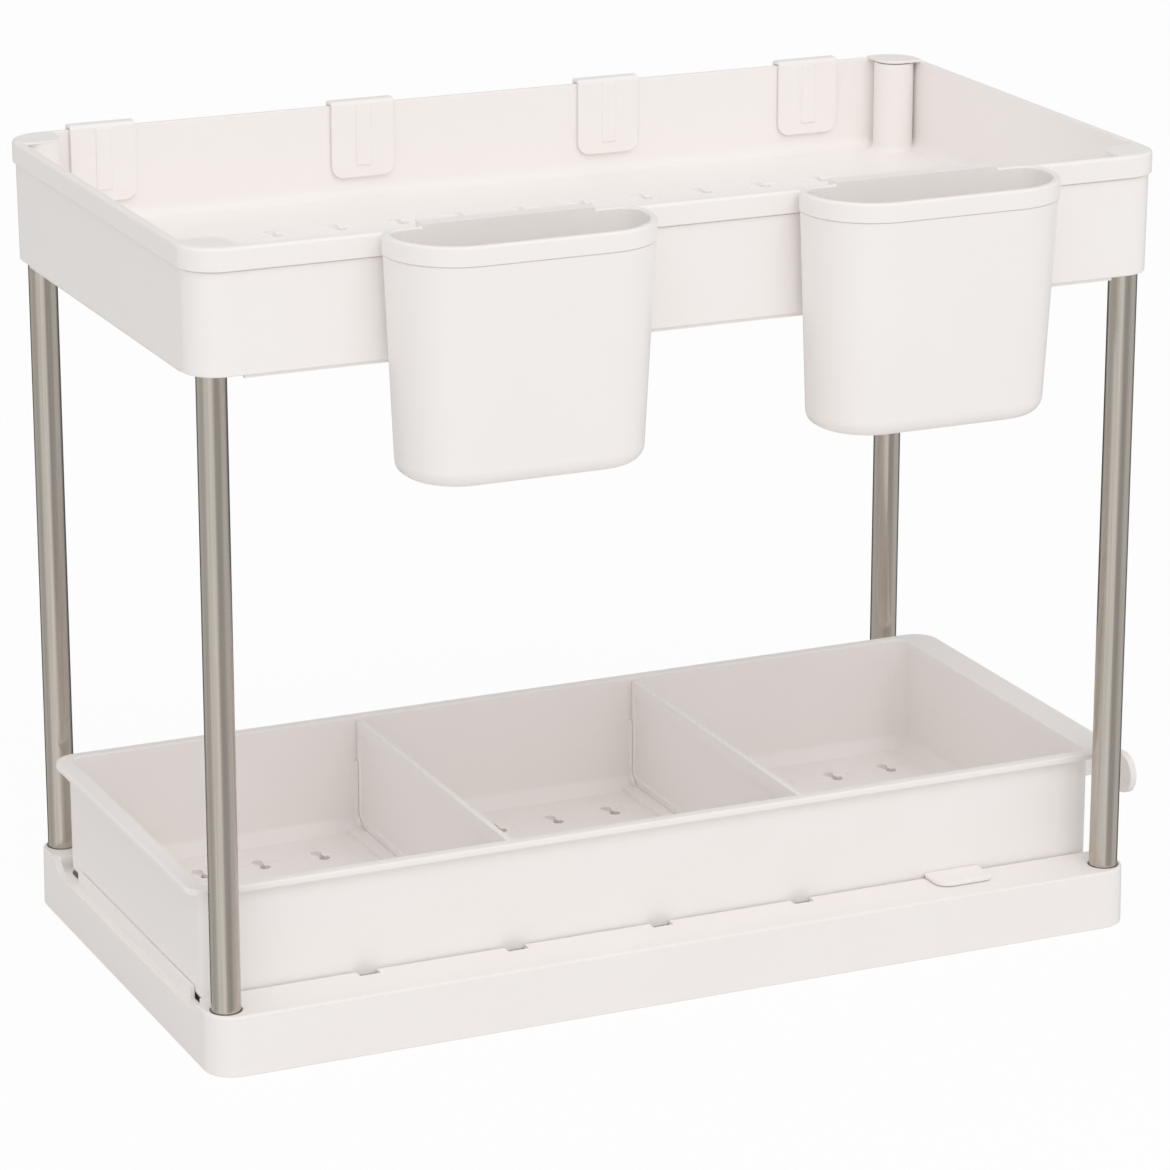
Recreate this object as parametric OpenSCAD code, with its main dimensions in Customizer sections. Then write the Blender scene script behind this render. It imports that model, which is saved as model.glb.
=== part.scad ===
// Two-tier cabinet organizer: a moulded base with a pull-out drawer, four steel poles,
// and an upper tray that carries two hanging cups on its front rim and four hooks on its rear rim.
// Millimetres. X runs along the organizer, the drawer pulls out along +X, +Y is the rear, +Z is up.
// The origin is on the table, under the middle of the base.

/* [Base] */
// Length of the base over its end walls
base_l = 400; // [380:1:420]
// Depth of the base over its long walls
base_d = 215.6; // [210:0.1:230]
// Height of the ledge over the table
base_h = 24.6; // [23:0.1:28]
// Corner radius of the base, seen from above
base_r = 12; // [10:0.5:13]
// Thickness of the base's walls, ledge and deck
base_wall = 2; // [1.6:0.1:2.2]
// Width of the ledge in front of the well and behind it
ledge_w = 24.3; // [23:0.1:26]
// Height of the deck inside the well over the table
deck_z = 15; // [13:0.1:16]
// Height of a runner over the deck
runner_h = 2; // [1.5:0.1:3]
// Width of a runner
runner_w = 3; // [2:0.5:5]
// Distance between the two runners
runner_gap = 120; // [80:1:140]
// How far the shelf on the closed end lies under the ledge
shelf_drop = 4.1; // [3:0.1:5]
// Width of that shelf, outside of the lip
shelf_w = 3.3; // [2.6:0.1:4]
// Thickness of the lip between the shelf and the well
lip_t = 1.4; // [1.2:0.1:2]
// Number of notches along each ledge
notch_count = 5; // [1:1:5]
// Distance from notch to notch
notch_pitch = 62.6; // [50:0.1:70]
// Distance from the base's pull end to the middle of the last notch
notch_end = 77.7; // [60:0.1:90]
// Width of a notch along the ledge
notch_w = 8.6; // [6:0.1:10]
// Depth of a notch into the ledge
notch_d = 4.2; // [3:0.1:5]
// Height of a notch
notch_h = 6; // [5:0.1:8]

/* [Poles] */
// Outer diameter of a pole
pole_d = 11.6; // [10:0.1:12]
// Wall thickness of the pole's tube
pole_wall = 0.8; // [0.5:0.1:1.2]
// Distance from the base's end face to a pole's centre
pole_inset_l = 8.7; // [8.5:0.1:11]
// Distance from the base's long face to a pole's centre
pole_inset_d = 9.6; // [9:0.1:12]
// Gap around a pole in its sockets
pole_fit = 0.1; // [0.05:0.05:0.3]
// Floor of a base socket over the table
socket_z = 3.4; // [2.6:0.1:6]
// Wall of a base socket
socket_wall = 1.8; // [1.4:0.1:2]
// Gap around a pole at the mouth of its base socket
mouth_gap = 0.6; // [0.3:0.1:1]
// Depth of that wider mouth
mouth_h = 1.6; // [1:0.1:3]

/* [Upper tray] */
// Height of the tray's rim over the table
tray_top = 323.4; // [290:0.1:360]
// Height of the tray's wall
tray_h = 48.6; // [40:0.1:60]
// How far each end of the tray's wall stands out past the base
tray_over_l = 1.4; // [0.5:0.1:3]
// How far each long side of the tray's wall stands out past the base
tray_over_d = 0.3; // [0:0.1:2]
// Thickness of the tray's walls and floor
tray_wall = 2; // [1.6:0.1:2.4]
// Depth of the tray inside, from rim to floor
tray_deep = 38.4; // [30:0.1:44]
// Height of the band around the rim
band_h = 8.9; // [6:0.1:12]
// How far the band stands proud of the wall
band_out = 1.2; // [0.8:0.1:2]
// How far the ribs under the floor reach below the wall's edge
rib_reach = 1.7; // [0:0.1:3]
// Thickness of the ribs under the floor
rib_t = 1.6; // [1.2:0.1:2.4]
// Outer diameter of the corner columns
column_d = 16.8; // [15.4:0.1:18]
// Height and width of the flare at a column's foot
column_flare = 2.4; // [1:0.1:4]
// Size of the chamfer between the tray's floor and walls
tray_chamfer = 5; // [2:0.5:8]
// Thickness of a corner cap
cap_t = 1.4; // [1:0.1:2]
// How far a corner cap stands over the rim
cap_proud = 0.8; // [0.4:0.1:1.2]
// Height of the peg under a corner cap
cap_peg_h = 3; // [2:0.1:4]
// Diameter of the peg under a corner cap
cap_peg_d = 9; // [6:0.5:10]

/* [Drain holes] */
// Number of drain holes along the tray
tray_hole_columns = 11; // [1:1:11]
// Number of rows of drain holes across the tray
tray_hole_rows = 7; // [1:1:7]
// Distance between the tray's drain holes along X
tray_hole_pitch_l = 27; // [25:0.5:30]
// Distance between the tray's rows of drain holes
tray_hole_pitch_d = 19; // [18:0.5:22]
// Number of drain holes along one drawer compartment
drawer_hole_columns = 4; // [1:1:4]
// Number of rows of drain holes across the drawer
drawer_hole_rows = 3; // [1:1:3]
// Distance between the drawer's drain holes along X
drawer_hole_pitch_l = 26.2; // [24:0.1:27]
// Distance between the drawer's rows of drain holes
drawer_hole_pitch_d = 57.5; // [40:0.5:60]
// Diameter of a drain hole's round ends
hole_d = 5.2; // [4:0.1:6]
// Distance between a drain hole's round ends
hole_span = 6; // [4:0.1:8]
// Width of a drain hole's waist
hole_waist = 3.2; // [2:0.1:4]
// Angle by which a drain hole is turned away from straight across
hole_turn = 25; // [0:1:40]
// Length of the dished groove across a drain hole
groove_span = 10.4; // [6:0.1:12]
// Depth of that groove
groove_h = 0.5; // [0.2:0.1:1]

/* [Drawer] */
// Height of the drawer from underside to rim
drawer_h = 51.4; // [46:0.1:60]
// Thickness of the drawer's walls and floor
drawer_wall = 2; // [1.6:0.1:2.4]
// Gap between the drawer's long walls and the well
drawer_side_gap = 1; // [0.8:0.1:1.4]
// Gap between the drawer's end wall and the lip
drawer_end_gap = 1.3; // [0.8:0.1:2]
// Corner radius of the drawer's walls
drawer_r = 7; // [5:0.5:10]
// Thickness of the drawer's rim flange
flange_t = 2.6; // [2:0.1:3.5]
// How far the flange stands out along the long walls
flange_long = 3.2; // [2:0.1:4]
// How far the flange stands out at the closed end
flange_left = 5.6; // [3:0.1:6]
// How far the flange stands out at the pull end
flange_right = 12.1; // [6:0.1:14]
// Size of the chamfer between the drawer's floor and walls
drawer_chamfer = 5.2; // [3:0.1:8]
// How far the stop rib stands out of the drawer's long walls
stop_rib_out = 0.7; // [0.5:0.1:0.7]
// Width of the stop rib
stop_rib_w = 2; // [1.5:0.1:4]

/* [Dividers] */
// Thickness of a divider's edge frame
divider_t = 2.6; // [2:0.1:3]
// Depth of the recessed field on each face of a divider
field_deep = 0.4; // [0.2:0.1:0.6]
// Width of the frame around that field
field_frame = 7; // [4:0.5:10]
// How far a divider's top lies under the drawer's rim
divider_drop = 1; // [0.5:0.1:3]
// Gap between a divider and what guides it
divider_gap = 0.3; // [0.2:0.05:0.5]
// How far a guide rib stands out of the drawer's wall
guide_out = 1.8; // [1:0.1:3]
// Width of a guide rib
guide_w = 1.6; // [1:0.1:3]
// How far a guide rib's top lies under the drawer's rim
guide_drop = 19; // [10:0.5:30]
// Width of the plinth on each side of a divider's foot
plinth_w = 3.2; // [2:0.1:5]
// Height of that plinth
plinth_h = 1.6; // [1:0.1:2.4]

/* [Drawer pull] */
// Length of the pull's grip
pull_l = 142; // [80:1:150]
// Height of the pull's grip
pull_h = 17; // [12:0.5:20]
// Thickness of the pull's grip
pull_t = 3; // [2.4:0.1:4]
// Distance from the drawer's end wall to the grip
pull_out = 25.4; // [18:0.1:30]
// How far the grip's top edge lies under the drawer's rim
pull_drop = 11.4; // [8:0.1:14]
// Distance between the pull's two arms
pull_arm_gap = 90; // [50:1:110]
// Thickness of a pull's arm
pull_arm_t = 4; // [3:0.1:6]
// Width of the foot of a pull's arm
pull_foot_w = 18; // [12:0.5:24]
// Thickness of the foot of a pull's arm
pull_foot_t = 2; // [1.5:0.1:3]

/* [Drawer stop] */
// Length of the stop's plate along the ledge
stop_l = 24.4; // [18:0.1:30]
// Depth of the stop's plate on the ledge
stop_d = 14.2; // [10:0.1:15]
// Thickness of the stop's plate
stop_t = 2; // [1.5:0.1:3]
// Radius of the stop's outer corner towards the closed end
stop_r_big = 6; // [4:0.5:6]
// Radius of the stop's other outer corner
stop_r_small = 3; // [1:0.5:4]
// How far the plate reaches past its notch towards the closed end
stop_reach = 1.5; // [1:0.1:4]
// Gap between the stop and the notch that it sits in
stop_gap = 0.3; // [0.2:0.05:0.5]
// Gap between the stop's tongue and the drawer's wall
tongue_gap = 0.3; // [0.2:0.05:0.3]

/* [Cups] */
// Width of a cup over its rim band
cup_w = 106; // [90:0.5:112]
// How far a cup stands out from the tray's rim
cup_out = 38.6; // [38:0.1:46]
// Height of a cup
cup_h = 92.4; // [80:0.1:100]
// Wall of a cup
cup_wall = 2; // [1.6:0.1:2.6]
// How much each side of a cup draws in towards its foot
cup_taper = 3.6; // [1:0.1:5]
// Radius of a cup's front corners
cup_r_front = 27; // [18:0.5:27]
// Radius of a cup's back corners
cup_r_back = 9; // [8:0.5:9]
// Height of the rounded edge at a cup's foot
cup_foot_h = 8; // [4:0.5:10]
// How much the foot's edge draws in
cup_foot_in = 5; // [3:0.5:6]
// Height of the band around a cup's rim
cup_band_h = 7.4; // [5:0.1:10]
// How far that band stands proud
cup_band_out = 1; // [0.6:0.1:1.5]
// How far a cup's rim stands over the tray's rim
cup_rise = 1; // [0.5:0.1:3]
// Width of the lip that hangs a cup on the tray
cup_lip_w = 69; // [40:0.5:80]
// How far that lip reaches down inside the tray
cup_lip_drop = 9; // [6:0.1:12]

/* [Hooks] */
// Width of a hook's plate
hook_w = 27.4; // [20:0.1:32]
// Thickness of a hook's plate, and of a cup's lip
hook_t = 1.6; // [1.2:0.1:2]
// Gap between the rim and what hangs on it
hang_gap = 0.3; // [0.2:0.05:0.5]
// How far the inner plate reaches down from the rim
hook_inner_drop = 30; // [20:0.5:34]
// How far the outer plate reaches down from the rim
hook_outer_drop = 34; // [24:0.5:40]
// Inner radius of the hook's arm
hook_bend_r = 6; // [4:0.1:9]
// Height of the hook's tip over the bottom of its bend
hook_tip = 16; // [10:0.5:20]
// Width of the hook's arm
hook_arm_w = 14; // [8:0.5:20]
// Radius of the inner plate's lower corners
hook_r = 5; // [2:0.5:8]
// Width of the raised band down the middle of a hook
hook_band_w = 6.4; // [4:0.1:10]
// How far that band stands proud
hook_band_out = 0.4; // [0.2:0.1:0.8]

/* [Hidden] */
$fn = 64;
// Overrun of the cuts
cut = 1;
// Sides of the round ends inside a hull
hull_sides = 36;
// Thin slab that a hull is drawn over
slab = 0.01;
// Overlap of ribs with the wall that carries them
bury = 0.5;
// Where the rounded foot of a cup turns steep, up its height and across its width
foot_low_share = 0.3;
// Places of the dividers, as shares of half the drawer's inner length
divider_shares = [-0.3406, 0.3203];
// Places of the cups and hooks, as shares of half the tray's length
cup_shares = [-0.3883, 0.4543];
hook_shares = [-0.8054, -0.2503, 0.2979, 0.7612];

plastic = "#efe9e6";
steel = "#a9a29a";

// Base
well_y = base_d / 2 - ledge_w;
well_left = -base_l / 2 + shelf_w + lip_t;
runner_z = deck_z + runner_h;
shelf_z = base_h - shelf_drop;
ledge_under = base_h - base_wall;
shelf_half = well_y;
shelf_slope = shelf_drop;
lip_half = well_y - 3 * shelf_slope;
pocket_half = lip_half + 2 * shelf_slope;

// Poles
pole_x = base_l / 2 - pole_inset_l;
pole_y = base_d / 2 - pole_inset_d;
pole_top = tray_top - cap_t - 2 * cap_peg_h;
socket_r = pole_d / 2 + pole_fit;

// Tray
tray_l = base_l + 2 * tray_over_l;
tray_d = base_d + 2 * tray_over_d;
tray_r = base_r + tray_over_l;
tray_z = tray_top - tray_h;
tray_floor = tray_top - tray_deep;
column_top = tray_top + cap_proud - cap_t - pole_fit;

// Drawer
drawer_left = well_left + drawer_end_gap;
drawer_l = -2 * drawer_left;
drawer_d = 2 * (well_y - drawer_side_gap);
drawer_z = runner_z;
drawer_top = drawer_z + drawer_h;
drawer_floor = drawer_z + drawer_wall;
drawer_in_l = drawer_l - 2 * drawer_wall;
drawer_in_d = drawer_d - 2 * drawer_wall;
drawer_in_r = drawer_r - drawer_wall;
bay_x = drawer_in_l / 3;

// Rim faces that cups and hooks hang on
rim_out_y = tray_d / 2 + band_out;
rim_in_y = tray_d / 2 - tray_wall;
hang_z = tray_top + hang_gap;

// Outline with four equal round corners, centred
module round_plan(l, d, r) {
  square([l - 2 * r, d], center = true);
  square([l, d - 2 * r], center = true);
  for (sx = [-1, 1], sy = [-1, 1])
    translate([sx * (l / 2 - r), sy * (d / 2 - r)]) circle(r);
}

// Upright prism of that outline between two heights
module prism(l, d, r, z0, z1) {
  translate([0, 0, z0]) linear_extrude(z1 - z0) round_plan(l, d, r);
}

// Box between two corners
module span(a, b) {
  translate(a) cube(b - a);
}

// Outline drawn in Y and Z, extruded along X between two places
module along_x(x0, x1) {
  translate([x0, 0, 0]) rotate([90, 0, 90]) linear_extrude(x1 - x0) children();
}

// Two round ends joined by a waist, along X
module bone_plan(gap, d, waist) {
  for (s = [-1, 1]) translate([s * gap / 2, 0]) circle(d = d);
  square([gap, waist], center = true);
}

// One drain hole through a floor, with its dished groove, at the origin of its top face
module drain_hole(floor_t) {
  translate([0, 0, -floor_t - cut]) linear_extrude(floor_t + 2 * cut)
    rotate(90 + hole_turn) bone_plan(hole_span, hole_d, hole_waist);
  translate([0, 0, -groove_h]) linear_extrude(groove_h + cut) bone_plan(groove_span, hole_d, hole_waist);
}

// Inside of a box: upright walls over a chamfered floor
module basin(l, d, r, chamfer, z_floor, z_top) {
  prism(l, d, r, z_floor + chamfer, z_top + cut);
  hull() {
    prism(l - 2 * chamfer, d - 2 * chamfer, r, z_floor, z_floor + slab, $fn = hull_sides);
    prism(l, d, r, z_floor + chamfer, z_floor + chamfer + slab, $fn = hull_sides);
  }
}

// Places of the four poles
module at_poles() {
  for (sx = [-1, 1], sy = [-1, 1]) translate([sx * pole_x, sy * pole_y, 0]) children();
}

// Place of a notch along the ledge
function notch_x(i) = base_l / 2 - notch_end - (notch_count - 1 - i) * notch_pitch;

// Places of the notches along both ledges
module at_notches() {
  for (i = [0 : notch_count - 1], s = [-1, 1]) translate([notch_x(i), s * well_y, 0]) children();
}

// Moulded base: skirt, ledge, well with deck and runners, pole sockets, open at the pull end
module base_frame() color(plastic) {
  difference() {
    prism(base_l, base_d, base_r, 0, base_h);
    // hollows under the two ledges
    for (s = [-1, 1]) difference() {
      translate([0, s * (well_y + base_d / 2) / 2, 0])
        span([-base_l / 2 + base_wall, -ledge_w / 2 + base_wall, -cut],
          [base_l / 2 - base_wall, ledge_w / 2 - base_wall, ledge_under]);
      at_poles() cylinder(r = socket_r + socket_wall, h = base_h);
      corner_keep();
    }
    // hollow under the deck
    difference() {
      span([well_left - lip_t, -well_y, -cut], [base_l / 2 - base_wall, well_y, deck_z - base_wall]);
      span([-base_l, -runner_w / 2, -2 * cut], [base_l, runner_w / 2, base_h]);
      span([-runner_w / 2, -base_d, -2 * cut], [runner_w / 2, base_d, base_h]);
    }
    // well, open at the pull end
    span([well_left, -well_y, deck_z], [base_l, well_y, base_h + cut]);
    // shelf outside of the lip, sloping up to the ledge at both ends
    along_x(-base_l / 2 - cut, well_left - lip_t)
      polygon([[-shelf_half, base_h], [-shelf_half + shelf_slope, shelf_z],
        [shelf_half - shelf_slope, shelf_z], [shelf_half, base_h], [shelf_half, base_h + cut],
        [-shelf_half, base_h + cut]]);
    // pockets between the lip and the corners
    for (s = [-1, 1])
      span([well_left - lip_t - shelf_w / 2, s > 0 ? lip_half : -pocket_half, runner_z],
        [well_left + cut, s > 0 ? pocket_half : -lip_half, base_h + cut]);
    // notches in both ledges
    at_notches() span([-notch_w / 2, -notch_d, base_h - notch_h], [notch_w / 2, notch_d, base_h + cut]);
    // pole sockets, wider at the mouth
    at_poles() {
      translate([0, 0, socket_z]) cylinder(r = socket_r, h = base_h);
      translate([0, 0, base_h - mouth_h]) cylinder(r = pole_d / 2 + mouth_gap, h = base_h);
    }
  }
  // runners
  for (s = [-1, 1])
    span([well_left - bury, s * runner_gap / 2 - runner_w / 2, deck_z - bury],
      [base_l / 2 - base_wall, s * runner_gap / 2 + runner_w / 2, runner_z]);
}

// Outer part of the four corners of the base, which stays solid so that the round corner keeps its wall
module corner_keep() {
  difference() {
    prism(base_l + cut, base_d + cut, slab, -2 * cut, base_h);
    prism(base_l - 2 * base_wall, base_d - 2 * base_wall, base_r - base_wall, -3 * cut, base_h + cut);
  }
}

// Steel tube from the base's socket up into the tray's column
module pole(sx, sy) color(steel) translate([sx * pole_x, sy * pole_y, socket_z]) difference() {
  cylinder(d = pole_d, h = pole_top - socket_z);
  translate([0, 0, -cut]) cylinder(d = pole_d - 2 * pole_wall, h = pole_top - socket_z + 2 * cut);
}

// Upper tray: walls, banded rim, raised floor with drain holes, corner columns, ribs underneath
module upper_tray() color(plastic) {
  difference() {
    union() {
      difference() {
        union() {
          prism(tray_l, tray_d, tray_r, tray_z, tray_top);
          prism(tray_l + 2 * band_out, tray_d + 2 * band_out, tray_r + band_out, tray_top - band_h,
            tray_top);
        }
        basin(tray_l - 2 * tray_wall, tray_d - 2 * tray_wall, tray_r - tray_wall, tray_chamfer,
          tray_floor, tray_top);
        prism(tray_l - 2 * tray_wall, tray_d - 2 * tray_wall, tray_r - tray_wall, tray_z - cut,
          tray_floor - tray_wall);
        for (i = [0 : tray_hole_columns - 1], j = [0 : tray_hole_rows - 1])
          translate([(i - (tray_hole_columns - 1) / 2) * tray_hole_pitch_l,
            (j - (tray_hole_rows - 1) / 2) * tray_hole_pitch_d, tray_floor]) drain_hole(tray_wall);
      }
      // columns with a flared foot
      intersection() {
        prism(tray_l - tray_wall, tray_d - tray_wall, tray_r - tray_wall / 2, tray_z, column_top);
        at_poles() {
          translate([0, 0, tray_z]) cylinder(d = column_d, h = column_top - tray_z);
          translate([0, 0, tray_floor])
            cylinder(d1 = column_d + 2 * column_flare, d2 = column_d, h = column_flare);
        }
      }
      under_ribs();
    }
    at_poles() {
      translate([0, 0, tray_z - cut]) cylinder(r = socket_r, h = pole_top - tray_z + cut + pole_fit);
      translate([0, 0, column_top - cap_peg_h]) cylinder(d = cap_peg_d + 2 * pole_fit, h = cap_peg_h + cut);
    }
  }
}

// Ribs under the tray's floor: a frame just inside the wall between the columns, and two cross ribs
module under_ribs() {
  rib_x = pole_x - column_d / 2 - rib_t;
  rib_y = pole_y - column_d / 2 - rib_t;
  rib_z = tray_z - rib_reach;
  rib_top = tray_floor - tray_wall + bury;
  for (s = [-1, 1]) {
    span([-rib_x, s * (rim_in_y - rib_t / 2 + bury / 2) - rib_t / 2, rib_z],
      [rib_x, s * (rim_in_y - rib_t / 2 + bury / 2) + rib_t / 2, rib_top]);
    span([s * (tray_l / 2 - tray_wall - rib_t / 2 + bury / 2) - rib_t / 2, -rib_y, rib_z],
      [s * (tray_l / 2 - tray_wall - rib_t / 2 + bury / 2) + rib_t / 2, rib_y, rib_top]);
    span([s * tray_l / 6 - rib_t / 2, -rim_in_y - bury, tray_z + rib_reach],
      [s * tray_l / 6 + rib_t / 2, rim_in_y + bury, rib_top]);
  }
}

// Leaf-shaped cap over a column, with its peg
module cap(sx, sy) color(plastic) translate([sx * pole_x, sy * pole_y, 0]) {
  top = tray_top + cap_proud;
  reach_x = tray_l / 2 - tray_wall - pole_x - pole_fit;
  reach_y = tray_d / 2 - tray_wall - pole_y - pole_fit;
  near = column_d / 2 + pole_fit;
  corner = tray_r - tray_wall;
  mirror([sx < 0 ? 1 : 0, 0, 0]) mirror([0, sy < 0 ? 1 : 0, 0]) {
    translate([0, 0, top - cap_t]) linear_extrude(cap_t) intersection() {
      union() {
        circle(near);
        translate([-near, 0]) square([2 * near, near]);
        translate([0, -near]) square([near, 2 * near]);
      }
      translate([reach_x - corner, reach_y - corner]) {
        circle(corner);
        translate([-2 * corner, -2 * corner]) square([2 * corner, 3 * corner]);
        translate([-2 * corner, -2 * corner]) square([3 * corner, 2 * corner]);
      }
    }
    translate([0, 0, top - cap_t - cap_peg_h + pole_fit]) cylinder(d = cap_peg_d, h = cap_peg_h);
  }
}

// Pull-out drawer: chamfered basin, rim flange, divider guides, drain holes, stop ribs
module drawer() color(plastic) {
  flange_l = drawer_l + flange_left + flange_right;
  flange_x = (flange_right - flange_left) / 2;
  difference() {
    union() {
      difference() {
        union() {
          prism(drawer_l, drawer_d, drawer_r, drawer_z + drawer_chamfer, drawer_top);
          hull() {
            prism(drawer_l - 2 * drawer_chamfer, drawer_d - 2 * drawer_chamfer, drawer_r,
              drawer_z, drawer_z + slab, $fn = hull_sides);
            prism(drawer_l, drawer_d, drawer_r,
              drawer_z + drawer_chamfer, drawer_z + drawer_chamfer + slab, $fn = hull_sides);
          }
          translate([flange_x, 0, 0])
            prism(flange_l, drawer_d + 2 * flange_long, drawer_r + flange_long, drawer_top - flange_t,
              drawer_top);
        }
        basin(drawer_in_l, drawer_in_d, drawer_in_r, drawer_chamfer, drawer_floor, drawer_top);
      }
      for (share = divider_shares) divider_guide(share * drawer_in_l / 2);
      for (s = [-1, 1]) stop_rib(s);
    }
    for (bay = [-1, 0, 1], i = [0 : drawer_hole_columns - 1], j = [0 : drawer_hole_rows - 1])
      translate([bay * bay_x + (i - (drawer_hole_columns - 1) / 2) * drawer_hole_pitch_l,
        (j - (drawer_hole_rows - 1) / 2) * drawer_hole_pitch_d, drawer_floor]) drain_hole(drawer_wall);
  }
}

// Pair of ribs up each long wall, and of plinths along the floor, that hold one divider upright
module divider_guide(x) {
  half = divider_t / 2 + divider_gap;
  y0 = drawer_in_d / 2;
  z0 = drawer_floor;
  z1 = drawer_top - guide_drop;
  for (sx = [-1, 1]) {
    x0 = sx > 0 ? x + half : x - half - guide_w;
    for (sy = [-1, 1]) along_x(x0, x0 + guide_w) scale([sy, 1])
      polygon([[y0 + bury, z1], [y0 - guide_out / 2, z1], [y0 - guide_out, z1 - guide_out],
        [y0 - guide_out, z0 + drawer_chamfer + guide_out], [y0 - drawer_chamfer - 2 * guide_out, z0],
        [y0 - drawer_chamfer - guide_out, z0 - bury], [y0 - drawer_chamfer, z0 - bury],
        [y0 + bury, z0 + drawer_chamfer]]);
    p0 = sx > 0 ? x + half : x - half - plinth_w;
    span([p0, -y0 + drawer_chamfer, z0 - bury], [p0 + plinth_w, y0 - drawer_chamfer, z0 + plinth_h]);
  }
}

// Upright rib outside the drawer's long wall at the closed end, which meets the stop when the drawer is out
module stop_rib(s) {
  x0 = drawer_left + drawer_r;
  y0 = s > 0 ? drawer_d / 2 - bury : -drawer_d / 2 - stop_rib_out;
  span([x0, y0, drawer_z + drawer_chamfer + bury],
    [x0 + stop_rib_w, y0 + bury + stop_rib_out, drawer_top - flange_t]);
}

// Lift-out divider with a framed, recessed field on both faces
module divider(i) color(plastic) {
  x = divider_shares[i] * drawer_in_l / 2;
  y0 = drawer_in_d / 2 - divider_gap;
  z0 = drawer_floor + divider_gap;
  z1 = drawer_top - divider_drop;
  c = drawer_chamfer;
  f = field_frame;
  difference() {
    along_x(x - divider_t / 2, x + divider_t / 2)
      polygon([[-y0 + c, z0], [y0 - c, z0], [y0, z0 + c], [y0, z1], [-y0, z1], [-y0, z0 + c]]);
    for (s = [-1, 1]) translate([s * (divider_t - field_deep), 0, 0])
      along_x(x - divider_t / 2, x + divider_t / 2)
        polygon([[-y0 + c + f / 2, z0 + f], [y0 - c - f / 2, z0 + f], [y0 - f, z0 + c + f / 2],
          [y0 - f, z1 - f], [-y0 + f, z1 - f], [-y0 + f, z0 + c + f / 2]]);
  }
}

// Grip with round ends on two arms, screwed or clipped to the drawer's end wall by its feet
module drawer_pull() color(plastic) {
  x0 = drawer_l / 2;
  z1 = drawer_top - pull_drop;
  translate([x0 + pull_out, 0, z1 - pull_h / 2]) rotate([90, 0, 90])
    linear_extrude(pull_t) round_plan(pull_l, pull_h, pull_h / 2 - slab);
  for (s = [-1, 1]) translate([0, s * pull_arm_gap / 2, z1 - pull_h / 2]) {
    span([x0, -pull_arm_t / 2, -pull_h / 3], [x0 + pull_out + bury, pull_arm_t / 2, pull_h / 3]);
    span([x0, -pull_foot_w / 2, -pull_h / 2], [x0 + pull_foot_t, pull_foot_w / 2, pull_h / 2]);
  }
}

// Stop plate on the front ledge, with a stem down in the last notch and a tongue close to the drawer's wall
module drawer_stop() color(plastic) {
  nx = notch_x(notch_count - 1);
  x0 = nx - notch_w / 2 - stop_reach;
  x1 = x0 + stop_l;
  y1 = -drawer_d / 2 - tongue_gap;
  y0 = y1 - stop_d;
  translate([0, 0, base_h]) linear_extrude(stop_t) {
    translate([x0, y0 + stop_r_big]) square([stop_l, stop_d - stop_r_big]);
    translate([x0 + stop_r_big, y0]) square([stop_l - stop_r_big - stop_r_small, stop_r_big]);
    translate([x1 - stop_r_small, y0 + stop_r_small])
      square([stop_r_small, stop_r_big - stop_r_small + slab]);
    translate([x0 + stop_r_big, y0 + stop_r_big]) circle(stop_r_big);
    translate([x1 - stop_r_small, y0 + stop_r_small]) circle(stop_r_small);
  }
  span([nx - notch_w / 2 + stop_gap, -well_y - notch_d + stop_gap, base_h - notch_h + stop_gap],
    [nx + notch_w / 2 - stop_gap, -well_y - stop_gap, base_h + stop_t / 2]);
}

// Outline of a cup, drawn in from the rim band by one amount and at its flat back by another
module cup_plan(in, back) {
  rf = cup_r_front - in;
  rb = cup_r_back - in / 2;
  half = cup_w / 2 - in;
  front = -cup_out + in;
  translate([-half + rf, front]) square([2 * half - 2 * rf, -back - front]);
  translate([-half, front + rf]) square([2 * half, -back - front - rf - rb]);
  translate([-half + rb, front + rf]) square([2 * half - 2 * rb, -back - front - rf]);
  for (s = [-1, 1]) {
    intersection() {
      translate([s * (half - rf), front + rf]) circle(rf);
      translate([-half, front]) square([2 * half, rf]);
    }
    translate([s * (half - rb), -back - rb]) circle(rb);
  }
}

// Thin slab of that outline, for a hull
module cup_slab(in, back, z) {
  translate([0, 0, z]) linear_extrude(slab) cup_plan(in, back, $fn = hull_sides);
}

// Hanging cup: drawn-in body with a round foot, banded rim, and a lip over the tray's rim
module cup(i) color(plastic) translate([cup_shares[i] * tray_l / 2, -rim_out_y - hang_gap, 0]) {
  top = tray_top + cup_rise;
  bottom = top - cup_h;
  foot = cup_band_out + cup_taper;
  lip_in = band_out + tray_wall + 2 * hang_gap;
  difference() {
    union() {
      hull() {
        cup_slab(cup_band_out, 0, top - slab);
        cup_slab(foot, 0, bottom + cup_foot_h);
        cup_slab(foot + cup_foot_in * foot_low_share, 0, bottom + cup_foot_h * foot_low_share);
        cup_slab(foot + cup_foot_in, 0, bottom);
      }
      translate([0, 0, top - cup_band_h]) linear_extrude(cup_band_h) cup_plan(0, 0);
    }
    hull() {
      cup_slab(cup_band_out + cup_wall, cup_wall, top + cut);
      cup_slab(foot + cup_wall, cup_wall, bottom + cup_wall + cup_foot_in);
      cup_slab(foot + cup_wall + cup_foot_in, cup_wall, bottom + cup_wall);
    }
  }
  // lip over the rim, and its leg inside the tray
  span([-cup_lip_w / 2, -cup_wall, top - cup_band_h / 2], [cup_lip_w / 2, 0, hang_z + hook_t]);
  span([-cup_lip_w / 2, -cup_wall, hang_z], [cup_lip_w / 2, lip_in + hook_t, hang_z + hook_t]);
  span([-cup_lip_w / 2, lip_in, tray_top - cup_lip_drop],
    [cup_lip_w / 2, lip_in + hook_t, hang_z + hook_t]);
}

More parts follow.
